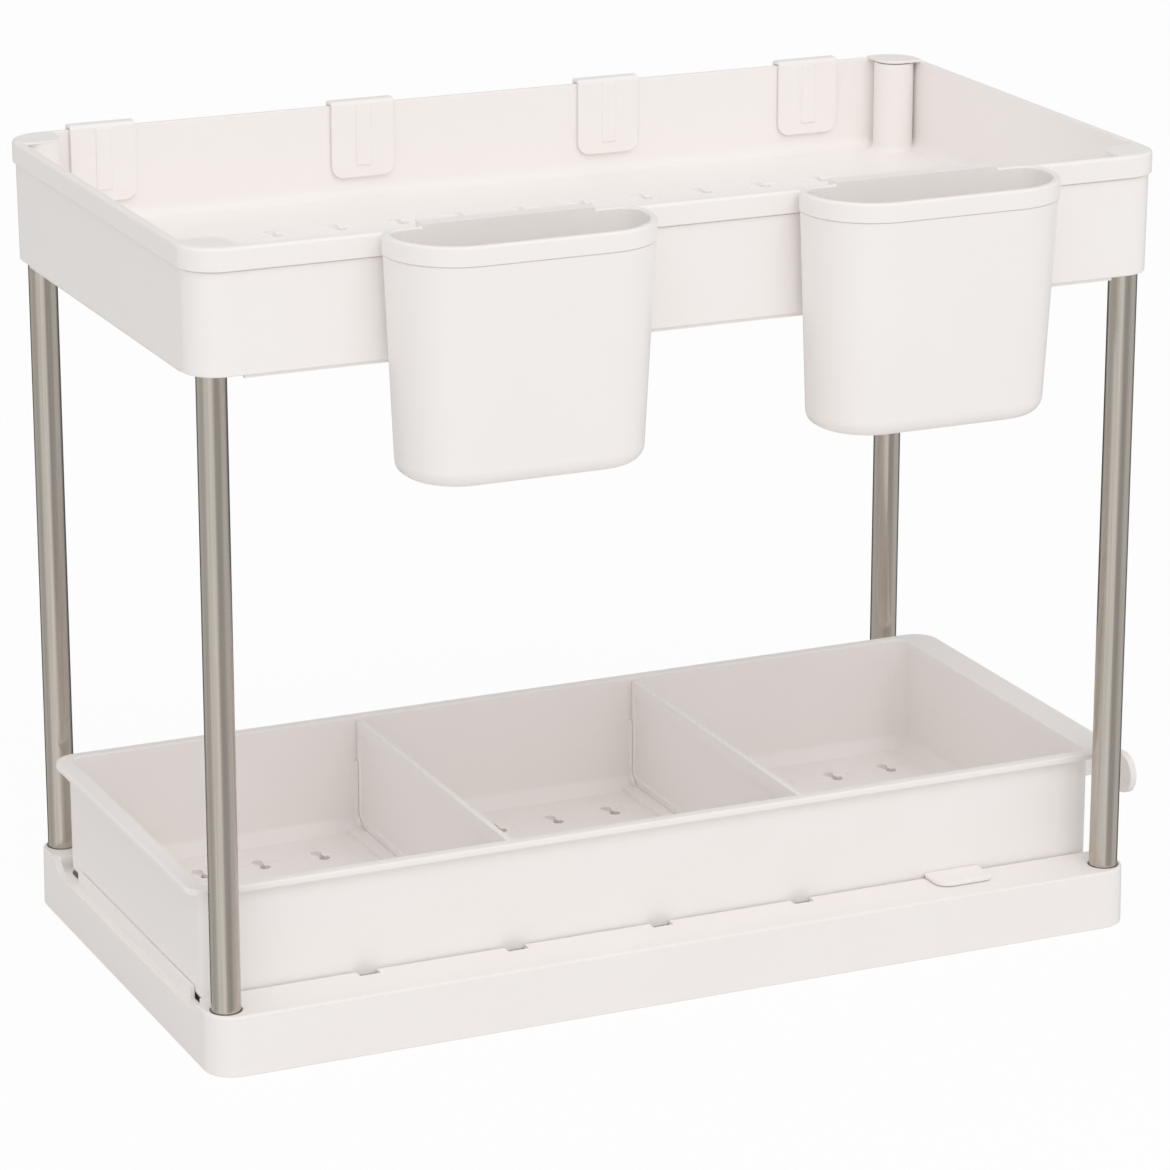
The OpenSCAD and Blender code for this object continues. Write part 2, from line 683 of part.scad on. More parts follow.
// Profile of a hook in Y and Z: inner plate, bridge over the rim, outer plate and bent arm
module hook_clip_plan() {
  y_in = rim_in_y - hang_gap;
  y_out = rim_out_y + hang_gap;
  r = hook_t + hang_gap;
  difference() {
    union() {
      translate([y_in - hook_t, tray_top - hook_inner_drop]) square([hook_t, hook_inner_drop + hang_gap]);
      translate([y_out, tray_top - hook_outer_drop]) square([hook_t, hook_outer_drop + hang_gap]);
      translate([y_in - hook_t + r, hang_z + hook_t - r]) circle(r);
      translate([y_out + hook_t - r, hang_z + hook_t - r]) circle(r);
      translate([y_in - hook_t + r, hang_z]) square([y_out - y_in + 2 * hook_t - 2 * r, hook_t]);
    }
    translate([y_in, tray_top - 2 * hook_outer_drop]) square([y_out - y_in, 2 * hook_outer_drop + hang_gap]);
  }
}

// Bent arm of a hook in Y and Z, below the outer plate
module hook_arm_plan() {
  y_out = rim_out_y + hang_gap;
  z_bend = tray_top - hook_outer_drop;
  translate([y_out + hook_t + hook_bend_r, z_bend]) difference() {
    union() {
      circle(hook_bend_r + hook_t);
      translate([hook_bend_r, 0]) square([hook_t, hook_tip - hook_bend_r - hook_t]);
      translate([hook_bend_r + hook_t / 2, hook_tip - hook_bend_r - hook_t]) circle(hook_t / 2);
    }
    circle(hook_bend_r);
    translate([-hook_bend_r - 2 * hook_t, 0]) square([2 * hook_bend_r + 2 * hook_t, 2 * hook_bend_r]);
  }
}

// Hook clipped over the rear rim
module hook(i) color(plastic) {
  x = hook_shares[i] * tray_l / 2;
  intersection() {
    along_x(x - hook_w / 2, x + hook_w / 2) hook_clip_plan();
    translate([x, 0, tray_top]) rotate([90, 0, 0]) translate([0, 0, -base_d])
      linear_extrude(2 * base_d) round_plan(hook_w, 2 * hook_inner_drop, hook_r);
  }
  along_x(x - hook_w / 2, x + hook_w / 2) hook_outer_plan();
  along_x(x - hook_arm_w / 2, x + hook_arm_w / 2) hook_arm_plan();
  // raised band down the inner plate
  band_y = rim_in_y - hang_gap - hook_t;
  span([x - hook_band_w / 2, band_y - hook_band_out, tray_top - hook_inner_drop + hook_r],
    [x + hook_band_w / 2, band_y + bury, tray_top]);
}

// Outer plate of a hook in Y and Z
module hook_outer_plan() {
  translate([rim_out_y + hang_gap, tray_top - hook_outer_drop]) square([hook_t, hook_outer_drop]);
}

base_frame();
pole(-1, -1);  // pole_front_left
pole(1, -1);  // pole_front_right
pole(-1, 1);  // pole_rear_left
pole(1, 1);  // pole_rear_right
upper_tray();
cap(-1, -1);  // cap_front_left
cap(1, -1);  // cap_front_right
cap(-1, 1);  // cap_rear_left
cap(1, 1);  // cap_rear_right
drawer();
divider(0);  // divider_left
divider(1);  // divider_right
drawer_pull();
drawer_stop();
cup(0);  // cup_left
cup(1);  // cup_right
hook(0);  // hook_1
hook(1);  // hook_2
hook(2);  // hook_3
hook(3);  // hook_4
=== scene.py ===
import math

import bmesh
import bpy
from mathutils import Matrix, Vector


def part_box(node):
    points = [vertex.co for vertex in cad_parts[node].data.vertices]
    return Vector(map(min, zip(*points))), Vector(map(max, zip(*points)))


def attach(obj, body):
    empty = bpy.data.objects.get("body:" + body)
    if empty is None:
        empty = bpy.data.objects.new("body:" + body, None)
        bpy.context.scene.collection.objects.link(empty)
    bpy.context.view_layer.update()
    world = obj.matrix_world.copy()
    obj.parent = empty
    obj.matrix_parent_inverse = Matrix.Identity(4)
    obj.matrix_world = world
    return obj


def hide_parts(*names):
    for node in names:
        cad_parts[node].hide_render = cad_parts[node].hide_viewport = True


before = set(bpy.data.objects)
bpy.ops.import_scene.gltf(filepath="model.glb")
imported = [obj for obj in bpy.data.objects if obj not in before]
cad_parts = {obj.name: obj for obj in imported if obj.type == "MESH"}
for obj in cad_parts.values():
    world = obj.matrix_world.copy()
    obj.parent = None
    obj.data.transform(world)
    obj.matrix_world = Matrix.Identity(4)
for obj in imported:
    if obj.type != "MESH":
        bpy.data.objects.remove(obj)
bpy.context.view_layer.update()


# Camera
# The photograph was taken from the front left, a little above the rim of the upper tray, with a long
# lens. Its upright edges were straightened afterwards; here the camera tilts down instead.
PHOTO_PIXELS = 1170
FOCAL_PIXELS = 4880
SENSOR = 36.0
CAMERA_PLACE = (-0.7725, -1.7235, 0.7336)
CAMERA_YAW = 0.4225
CAMERA_PITCH = -0.3041
camera_data = bpy.data.cameras.new("camera")
camera_data.sensor_width = SENSOR
camera_data.lens = SENSOR * FOCAL_PIXELS / PHOTO_PIXELS
camera = bpy.data.objects.new("camera", camera_data)
camera.location = CAMERA_PLACE
camera.rotation_euler = (math.pi / 2 + CAMERA_PITCH, 0, -CAMERA_YAW)
bpy.context.scene.collection.objects.link(camera)
bpy.context.scene.camera = camera


# Base frame
# One injection moulding in warm white polypropylene: a low skirt with a ledge along the front and the
# rear, a well in which the drawer runs, and a socket in each corner for a pole. It rests on its skirt.
MM = 0.001
BASE_LOW, BASE_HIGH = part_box("base_frame")
WALL = 2 * MM
BASE_CORNER = 12 * MM
BASE_DRAFT = 0.3 * MM
BASE_EDGE = 1.0 * MM
FOOT_EDGE = 0.5 * MM
LEDGE_WIDTH = 24.3 * MM
DECK_TOP = 15 * MM
SHELF_WIDTH = 4.1 * MM
SHELF_DROP = 5.1 * MM
SHELF_EDGE = 0.9 * MM
LIP = 1.8 * MM
LIP_ENDS = (-71 * MM, 64 * MM)
STRIP_WIDTH = 3.2 * MM
STRIP_FRONT = (-90.5 * MM, -79.5 * MM)
STRIP_REAR = (75 * MM, 88 * MM)
WEB_CORNER = 7.4 * MM
WEB_STEP = 0.6 * MM
NOTCH_COUNT = 5
NOTCH_PITCH = 62.6 * MM
NOTCH_FROM_END = 77.7 * MM
NOTCH_SIZE = (8.6 * MM, 4.2 * MM, 2.3 * MM)
CLIP_NOTCH_DEPTH = 6 * MM
RUNNER_GAP = 120 * MM
RUNNER_SIZE = (3 * MM, 2 * MM)
SOCKET_WALL = 1.8 * MM
SOCKET_MOUTH = 1.6 * MM
POLE_FIT = 0.1 * MM
MOUTH_GAP = 0.6 * MM
OVERRUN = 1 * MM
BASE_SOFT = 0.35 * MM
WELD = 0.001 * MM
SMALL_GAP = 0.01 * MM
SHARP_ANGLE = 50
FLAT_ANGLE = 1
PLASTIC_LIGHT = "#fefaf8"
PLASTIC_SHADE = "#fbf6f3"
CLOUD_SIZE = 60 * MM
GRIT_SIZE = 1.2 * MM
GRIT_HEIGHT = 0.02 * MM
WAVE_SIZE = 35 * MM
WAVE_HEIGHT = 0.15 * MM


def linear(code):
    """Linear values of an sRGB hex colour."""
    parts = [int(code[i:i + 2], 16) / 255 for i in (1, 3, 5)]
    return tuple(p / 12.92 if p <= 0.04045 else ((p + 0.055) / 1.055) ** 2.4 for p in parts) + (1,)


def add_node(tree, kind, links=None, **settings):
    """Adds a node. A setting is a property of the node or the value of an input with that name."""
    made = tree.nodes.new(kind)
    for name, value in settings.items():
        if hasattr(made, name):
            setattr(made, name, value)
        else:
            made.inputs[name.replace("_", " ")].default_value = value
    for name, output in (links or {}).items():
        tree.links.new(output, made.inputs[name])
    return made


def moulded_polypropylene(name):
    """Warm white polypropylene from a fine spark-eroded mould: satin, with a faint cloudy tone."""
    material = bpy.data.materials.new(name)
    material.use_nodes = True
    tree = material.node_tree
    tree.nodes.clear()
    place = add_node(tree, "ShaderNodeTexCoord").outputs["Object"]
    # flow of the melt, which leaves wide clouds of slightly different tone
    cloud = add_node(tree, "ShaderNodeTexNoise", {"Vector": place}, Scale=1 / CLOUD_SIZE, Detail=2.0)
    tone = add_node(tree, "ShaderNodeMix", {"Factor": cloud.outputs["Fac"]}, data_type="RGBA")
    tone.inputs["A"].default_value = linear(PLASTIC_LIGHT)
    tone.inputs["B"].default_value = linear(PLASTIC_SHADE)
    # the mould's grit is about 0.05 mm; drawn far coarser so that it shows as a soft, even sheen
    grit = add_node(tree, "ShaderNodeTexNoise", {"Vector": place}, Scale=1 / GRIT_SIZE, Detail=3.0)
    grain = add_node(tree, "ShaderNodeBump", {"Height": grit.outputs["Fac"]}, Strength=0.35,
                     Distance=GRIT_HEIGHT)
    # slow waves left by shrinking, which bend reflections a little
    wave = add_node(tree, "ShaderNodeTexNoise", {"Vector": place}, Scale=1 / WAVE_SIZE, Detail=1.0)
    waves = add_node(tree, "ShaderNodeBump",
                     {"Height": wave.outputs["Fac"], "Normal": grain.outputs["Normal"]},
                     Strength=0.5, Distance=WAVE_HEIGHT)
    rough = add_node(tree, "ShaderNodeMapRange", {"Value": cloud.outputs["Fac"]}, To_Min=0.40, To_Max=0.50)
    shader = add_node(tree, "ShaderNodeBsdfPrincipled",
                      {"Base Color": tone.outputs["Result"], "Roughness": rough.outputs["Result"],
                       "Normal": waves.outputs["Normal"]}, IOR=1.49)
    add_node(tree, "ShaderNodeOutputMaterial", {"Surface": shader.outputs["BSDF"]})
    return material


def grown(plan, out):
    """A plan (x0, x1, y0, y1, front corner radius, rear corner radius) moved outwards all round."""
    x0, x1, y0, y1, front, rear = plan
    return (x0 - out, x1 + out, y0 - out, y1 + out, front + out, rear + out)


def round_edge(out, up, radius, start, stop, steps=4):
    """Points (out, up) round a centre, by angle in degrees from straight outwards."""
    turns = [math.radians(start + (stop - start) * i / steps) for i in range(steps + 1)]
    return [(out + radius * math.cos(a), up + radius * math.sin(a)) for a in turns]


def flat_face(bm, plan, z, steps):
    """Adds one level face with round corners and returns it."""
    x0, x1, y0, y1, front, rear = plan
    middle = Matrix.Translation(((x0 + x1) / 2, (y0 + y1) / 2, z))
    known = set(bm.faces)
    made = bmesh.ops.create_grid(bm, x_segments=1, y_segments=1, size=0.5,
                                 matrix=middle @ Matrix.Diagonal((x1 - x0, y1 - y0, 1, 1)))
    corners = made["verts"]
    for radius, side in ((front, -1), (rear, 1)):
        ends = [v for v in corners if v.is_valid and (v.co.y - (y0 + y1) / 2) * side > 0]
        bmesh.ops.bevel(bm, geom=ends, offset=radius, offset_type="OFFSET", segments=steps, profile=0.5,
                        affect="VERTICES", material=-1)
    return next(f for f in bm.faces if f not in known)


def skin(bm, levels, steps=8):
    """Closed skin through level outlines, given as (plan, height), each drawn out of the one before."""
    first = face = flat_face(bm, *levels[0], steps)
    before = [v.co.copy() for v in face.verts]
    for plan, z in levels[1:]:
        pattern = bmesh.new()
        places = [v.co.copy() for v in flat_face(pattern, plan, z, steps).verts]
        pattern.free()
        made = bmesh.ops.extrude_face_region(bm, geom=[face], use_keep_orig=True)["geom"]
        if face != first:
            bmesh.ops.delete(bm, geom=[face], context="FACES_ONLY")
        face = next(f for f in made if isinstance(f, bmesh.types.BMFace))
        for vert in face.verts:
            nearest = min(range(len(before)), key=lambda i: (before[i] - vert.co).length_squared)
            vert.co = places[nearest]
        before = places


def turned(bm, centre, profile, sides=64, closed=False):
    """Turns a profile of (radius, height) points round an upright axis."""
    verts = [bm.verts.new((centre[0] + r, centre[1], z)) for r, z in profile]
    edges = [bm.edges.new(pair) for pair in zip(verts, verts[1:])]
    if closed:
        edges.append(bm.edges.new((verts[-1], verts[0])))
    bmesh.ops.spin(bm, geom=verts + edges, cent=(*centre, 0), axis=(0, 0, 1), angle=2 * math.pi, steps=sides,
                   use_merge=True)
    bmesh.ops.remove_doubles(bm, verts=bm.verts, dist=WELD)


def drawn(bm, corners, along):
    """Prism of a flat outline, drawn along a vector."""
    face = bm.faces.new([bm.verts.new(corner) for corner in corners])
    made = bmesh.ops.extrude_face_region(bm, geom=[face])["geom"]
    bmesh.ops.translate(bm, verts=[v for v in made if isinstance(v, bmesh.types.BMVert)], vec=along)


def drawn_along_x(bm, x0, x1, outline):
    """Prism of an outline in Y and Z between two places along X."""
    drawn(bm, [(x0, y, z) for y, z in outline], (x1 - x0, 0, 0))


def s_curve(ys, z0, z1, steps=8):
    """Points (y, z) of an S-shaped rise or fall between two places."""
    shares = [i / steps for i in range(steps + 1)]
    return [(ys[0] + (ys[1] - ys[0]) * t, z0 + (z1 - z0) * (1 - math.cos(math.pi * t)) / 2) for t in shares]


def add_box(bm, low, high):
    """Adds a box between two corners."""
    size = [b - a for a, b in zip(low, high)]
    centre = [(a + b) / 2 for a, b in zip(low, high)]
    bmesh.ops.create_cube(bm, size=1, matrix=Matrix.Translation(centre) @ Matrix.Diagonal((*size, 1)))


def add_cylinder(bm, centre, radius, z0, z1, sides=48):
    """Adds an upright cylinder between two heights."""
    place = Matrix.Translation((centre[0], centre[1], (z0 + z1) / 2))
    bmesh.ops.create_cone(bm, cap_ends=True, segments=sides, radius1=radius, radius2=radius,
                          depth=z1 - z0, matrix=place)


def combined(solid, tool, operation):
    """The bmesh that is left when a tool is cut out of a solid, or joined to it."""
    objects = []
    for part in (solid, tool):
        mesh = bpy.data.meshes.new("shape")
        bmesh.ops.recalc_face_normals(part, faces=part.faces)
        part.to_mesh(mesh)
        part.free()
        objects.append(bpy.data.objects.new("shape", mesh))
        bpy.context.scene.collection.objects.link(objects[-1])
    change = objects[0].modifiers.new("change", "BOOLEAN")
    change.object = objects[1]
    change.operation = operation
    change.solver = "MANIFOLD"
    bpy.context.view_layer.update()
    result = objects[0].evaluated_get(bpy.context.evaluated_depsgraph_get()).to_mesh()
    bm = bmesh.new()
    bm.from_mesh(result)
    for used in objects:
        mesh = used.data
        bpy.data.objects.remove(used)
        bpy.data.meshes.remove(mesh)
    return bm


def soften(bm, width, segments=2, sharper_than=SHARP_ANGLE, where=None):
    """Rounds the edges that are sharper than an angle in degrees."""
    bmesh.ops.remove_doubles(bm, verts=bm.verts, dist=2 * WELD)
    # only triangles left by a cut are merged, so that a ring of quads stays a ring
    cut = [e for e in bm.edges if any(len(f.verts) == 3 for f in e.link_faces)]
    corners = list({v for e in cut for v in e.verts})
    bmesh.ops.dissolve_limit(bm, angle_limit=math.radians(FLAT_ANGLE), verts=corners, edges=cut)
    sharp = [e for e in bm.edges if e.is_manifold and e.calc_face_angle() > math.radians(sharper_than)
             and (where is None or where(e))]
    bmesh.ops.bevel(bm, geom=sharp, offset=width, offset_type="OFFSET", segments=segments, profile=0.5,
                    affect="EDGES", clamp_overlap=True, material=-1)


def make_piece(name, bm, body, node, material):
    """Makes the object, shades it, and lets it stand for its node."""
    bmesh.ops.recalc_face_normals(bm, faces=bm.faces)
    mesh = bpy.data.meshes.new(name)
    for face in bm.faces:
        face.smooth = True
    bm.to_mesh(mesh)
    bm.free()
    mesh.set_sharp_from_angle(angle=math.radians(SHARP_ANGLE))
    mesh.materials.append(material)
    piece = bpy.data.objects.new(name, mesh)
    bpy.context.scene.collection.objects.link(piece)
    even = piece.modifiers.new("even_shading", "WEIGHTED_NORMAL")
    even.keep_sharp = True
    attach(piece, body)
    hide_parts(node)


POLE_LOW, POLE_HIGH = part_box("pole_rear_right")
POLE_RADIUS = (POLE_HIGH.x - POLE_LOW.x) / 2
POLE_X = (POLE_LOW.x + POLE_HIGH.x) / 2
POLE_Y = (POLE_LOW.y + POLE_HIGH.y) / 2
POLE_PLACES = [(sx * POLE_X, sy * POLE_Y) for sx in (-1, 1) for sy in (-1, 1)]
WELL_Y = BASE_HIGH.y - LEDGE_WIDTH
WELL_LEFT = BASE_LOW.x + SHELF_WIDTH + LIP


def base_frame():
    """Skirt block with rounded edges, hollowed from below and cut from above."""
    plan = (BASE_LOW.x, BASE_HIGH.x, BASE_LOW.y, BASE_HIGH.y, BASE_CORNER, BASE_CORNER)
    top = BASE_HIGH.z
    edge = round_edge(-FOOT_EDGE, FOOT_EDGE, FOOT_EDGE, -90, 0, 3)
    edge += round_edge(-BASE_DRAFT - BASE_EDGE, top - BASE_EDGE, BASE_EDGE, 0, 90, 5)
    block = bmesh.new()
    skin(block, [(grown(plan, out), up) for out, up in edge])
    # open underside: a channel under each ledge, and four cells under the deck
    below = bmesh.new()
    for side in (-1, 1):
        ys = sorted((side * (WELL_Y + WALL), side * (BASE_HIGH.y - WALL)))
        reach = POLE_X - POLE_RADIUS - POLE_FIT - SOCKET_WALL
        add_box(below, (-reach, ys[0], -OVERRUN), (reach, ys[1], top - WALL))
        for x0, x1 in ((WELL_LEFT, -RUNNER_SIZE[0] / 2), (RUNNER_SIZE[0] / 2, BASE_HIGH.x - WALL)):
            ys = sorted((side * RUNNER_SIZE[0] / 2, side * WELL_Y))
            add_box(below, (x0, ys[0], -OVERRUN), (x1, ys[1], DECK_TOP - WALL))
    block = combined(block, below, "DIFFERENCE")
    # well for the drawer, open at the pull end, and the pole sockets
    above = bmesh.new()
    add_box(above, (WELL_LEFT, -WELL_Y, DECK_TOP), (BASE_HIGH.x + OVERRUN, WELL_Y, top + OVERRUN))
    for place in POLE_PLACES:
        add_cylinder(above, place, POLE_RADIUS + POLE_FIT, POLE_LOW.z, top + OVERRUN)
    block = combined(block, above, "DIFFERENCE")
    # webs in the two corners of the well at the closed end, which follow the drawer's corners
    webs = bmesh.new()
    shelf_top = top - SHELF_DROP
    for lip_end in LIP_ENDS:
        ys = sorted((lip_end, math.copysign(WELL_Y + OVERRUN, lip_end)))
        add_box(webs, (WELL_LEFT - OVERRUN, ys[0], DECK_TOP - OVERRUN),
                (WELL_LEFT + WEB_CORNER + OVERRUN, ys[1], top - BASE_DRAFT))
    block = combined(block, webs, "UNION")
    room = bmesh.new()
    plan = (WELL_LEFT - POLE_FIT, BASE_HIGH.x + 2 * OVERRUN, -WELL_Y + WEB_STEP, WELL_Y - WEB_STEP,
            WEB_CORNER, WEB_CORNER)
    skin(room, [(plan, DECK_TOP + POLE_FIT), (plan, top + 2 * OVERRUN)])
    block = combined(block, room, "DIFFERENCE")
    # shelf outside of the lip, whose outer strip rises in an S to each corner
    shelf = bmesh.new()
    outline = [(STRIP_FRONT[0], top + OVERRUN)] + s_curve(STRIP_FRONT, top, shelf_top)
    outline += s_curve(STRIP_REAR, shelf_top, top) + [(STRIP_REAR[1], top + OVERRUN)]
    drawn_along_x(shelf, BASE_LOW.x - OVERRUN, BASE_LOW.x + STRIP_WIDTH + POLE_FIT, outline)
    for i in range(NOTCH_COUNT):
        x = BASE_HIGH.x - NOTCH_FROM_END - i * NOTCH_PITCH
        for side in (-1, 1):
            ys = sorted((side * (WELL_Y - OVERRUN), side * (WELL_Y + NOTCH_SIZE[1])))
            # the stop clips into the notch nearest to the pull
            depth = NOTCH_SIZE[2] if i or side > 0 else CLIP_NOTCH_DEPTH
            add_box(shelf, (x - NOTCH_SIZE[0] / 2, ys[0], top - depth),
                    (x + NOTCH_SIZE[0] / 2, ys[1], top + OVERRUN))
    for place in POLE_PLACES:
        add_cylinder(shelf, place, POLE_RADIUS + MOUTH_GAP, top - SOCKET_MOUTH, top + OVERRUN)
    block = combined(block, shelf, "DIFFERENCE")
    # inner part of the shelf, round both ends of the lip
    reach = WELL_LEFT + WEB_CORNER + 2 * OVERRUN
    inner = bmesh.new()
    strip = BASE_LOW.x + STRIP_WIDTH
    lip_side = WELL_LEFT - LIP
    plan = [(strip, -WELL_Y), (reach, -WELL_Y), (reach, LIP_ENDS[0]), (lip_side, LIP_ENDS[0]),
            (lip_side, LIP_ENDS[1]), (reach, LIP_ENDS[1]), (reach, WELL_Y), (strip, WELL_Y)]
    drawn(inner, [(x, y, shelf_top) for x, y in plan], (0, 0, SHELF_DROP + OVERRUN))
    block = combined(block, inner, "DIFFERENCE")
    # runners that carry the drawer
    runners = bmesh.new()
    for side in (-1, 1):
        y = side * RUNNER_GAP / 2
        add_box(runners, (WELL_LEFT - LIP / 2, y - RUNNER_SIZE[0] / 2, DECK_TOP - WALL / 2),
                (BASE_HIGH.x - WALL, y + RUNNER_SIZE[0] / 2, DECK_TOP + RUNNER_SIZE[1]))
    block = combined(block, runners, "UNION")
    soften(block, SHELF_EDGE, 3, where=lambda e: all(v.co.x < BASE_LOW.x + BASE_DRAFT + FOOT_EDGE
                                                     and shelf_top - FOOT_EDGE < v.co.z < top - 2 * BASE_EDGE
                                                     for v in e.verts))
    soften(block, BASE_SOFT)
    return block


white_plastic = moulded_polypropylene("moulded_polypropylene")
make_piece("base_moulding", base_frame(), "frame", "base_frame", white_plastic)


# Poles
# Four stainless steel tubes, welded and then brushed along their length, with a thin wall. Each is
# pushed into its socket in the base and into a column of the upper tray.
POLE_WALL = 0.8 * MM
POLE_SIDES = 96
STEEL_LIGHT = "#cfc8bf"
STEEL_DARK = "#b5ada3"
STREAK_WIDTH = 0.6 * MM
STREAK_SHARE = 0.012
STREAK_HEIGHT = 0.01 * MM
BROAD_STREAK = 3 * MM


def brushed_stainless(name, centre):
    """Stainless steel brushed lengthwise: fine streaks that stretch the highlights round the tube."""
    material = bpy.data.materials.new(name)
    material.use_nodes = True
    tree = material.node_tree
    tree.nodes.clear()
    place = add_node(tree, "ShaderNodeTexCoord").outputs["Object"]
    middle = add_node(tree, "ShaderNodeMapping", {"Vector": place}, Location=(-centre[0], -centre[1], 0))
    # scratches of the belt are about 0.05 mm wide and 50 mm long; drawn wider so that they show
    streak_map = add_node(tree, "ShaderNodeMapping", {"Vector": middle.outputs["Vector"]},
                          Scale=(1, 1, STREAK_SHARE))
    streak = add_node(tree, "ShaderNodeTexNoise", {"Vector": streak_map.outputs["Vector"]},
                      Scale=1 / STREAK_WIDTH, Detail=4.0)
    band = add_node(tree, "ShaderNodeTexNoise", {"Vector": streak_map.outputs["Vector"]},
                    Scale=1 / BROAD_STREAK, Detail=1.0)
    tone = add_node(tree, "ShaderNodeMix", {"Factor": streak.outputs["Fac"]}, data_type="RGBA")
    tone.inputs["A"].default_value = linear(STEEL_DARK)
    tone.inputs["B"].default_value = linear(STEEL_LIGHT)
    rough = add_node(tree, "ShaderNodeMapRange", {"Value": band.outputs["Fac"]}, To_Min=0.18, To_Max=0.28)
    scratch = add_node(tree, "ShaderNodeBump", {"Height": streak.outputs["Fac"]}, Strength=0.4,
                       Distance=STREAK_HEIGHT)
    shader = add_node(tree, "ShaderNodeBsdfPrincipled",
                      {"Base Color": tone.outputs["Result"], "Roughness": rough.outputs["Result"],
                       "Normal": scratch.outputs["Normal"]}, Metallic=1.0, Anisotropic=0.4)
    add_node(tree, "ShaderNodeOutputMaterial", {"Surface": shader.outputs["BSDF"]})
    return material


def pole_tube(centre):
    """Thin-walled tube with a rounded upper end."""
    inner = POLE_RADIUS - POLE_WALL
    middle = POLE_RADIUS - POLE_WALL / 2
    half = POLE_WALL / 2
    profile = round_edge(middle, POLE_HIGH.z - half, half, 0, 180, 6)
    profile += [(inner, POLE_LOW.z), (POLE_RADIUS, POLE_LOW.z)]
    bm = bmesh.new()
    turned(bm, centre, profile, POLE_SIDES, closed=True)
    return bm


for name, centre in (("pole_front_left", (-POLE_X, -POLE_Y)), ("pole_front_right", (POLE_X, -POLE_Y)),
                     ("pole_rear_left", (-POLE_X, POLE_Y)), ("pole_rear_right", (POLE_X, POLE_Y))):
    make_piece(name + "_tube", pole_tube(centre), "frame", name, brushed_stainless("steel_" + name, centre))


# Upper tray
# A deep tray moulded in the same plastic, with a proud band round its rim, a raised floor with rows of
# drain holes, and a column in each corner that takes a pole from below.
TRAY_LOW, TRAY_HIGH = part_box("upper_tray")
BAND_HEIGHT = 8.9 * MM
BAND_OUT = 1.2 * MM
TRAY_CORNER = 13.4 * MM
TRAY_FLOOR = TRAY_HIGH.z - 38.4 * MM
TRAY_EDGE = TRAY_HIGH.z - 48.6 * MM
TRAY_DRAFT = 0.7 * MM
TRAY_FILLET = 5 * MM
COLUMN_RADIUS = 8.4 * MM
COLUMN_TOP = TRAY_HIGH.z - 0.7 * MM
COLUMN_FLARE = 2.4 * MM
BAND_FOOT = 0.4 * MM
BAND_SEAM = 0.5 * MM
RIM_OUTER = 1.4 * MM
RIM_INNER = 0.6 * MM
PEG_RADIUS = 4.5 * MM
PEG_HEIGHT = 3 * MM
RIB = 1.6 * MM
RIB_REACH = 1.25 * MM
HOLE_COLUMNS = 11
HOLE_ROWS = 7
HOLE_PITCH = (27 * MM, 19 * MM)
HOLE_RADIUS = 2.3 * MM
HOLE_SPAN = 6.4 * MM
HOLE_WAIST = 2.8 * MM
HOLE_TURN = math.radians(12)
GROOVE_SPAN = 10.4 * MM
GROOVE_DEPTH = 0.3 * MM
TRAY_FOOT = 0.6 * MM
TRAY_SOFT = 0.25 * MM


def drain_tools(centres, floor, thickness):
    """Cutters for drain holes, in passes that don't overlap: groove ends, groove waist, hole ends, waist."""
    passes = []
    groove = (GROOVE_SPAN, 0, GROOVE_DEPTH)
    hole = (HOLE_SPAN, math.pi / 2 + HOLE_TURN, thickness + OVERRUN)
    for span, turn, depth in (groove, hole):
        along = (math.cos(turn), math.sin(turn))
        ends = bmesh.new()
        waists = bmesh.new()
        for x, y in centres:
            for s in (-0.5, 0.5):
                end = (x + s * span * along[0], y + s * span * along[1])
                add_cylinder(ends, end, HOLE_RADIUS, floor - depth, floor + OVERRUN, sides=20)
            place = Matrix.Translation((x, y, floor + (OVERRUN - depth) / 2)) @ Matrix.Rotation(turn, 4, "Z")
            size = Matrix.Diagonal((span, HOLE_WAIST, depth + OVERRUN, 1))
            bmesh.ops.create_cube(waists, size=1, matrix=place @ size)
        passes += [ends, waists]
    return passes


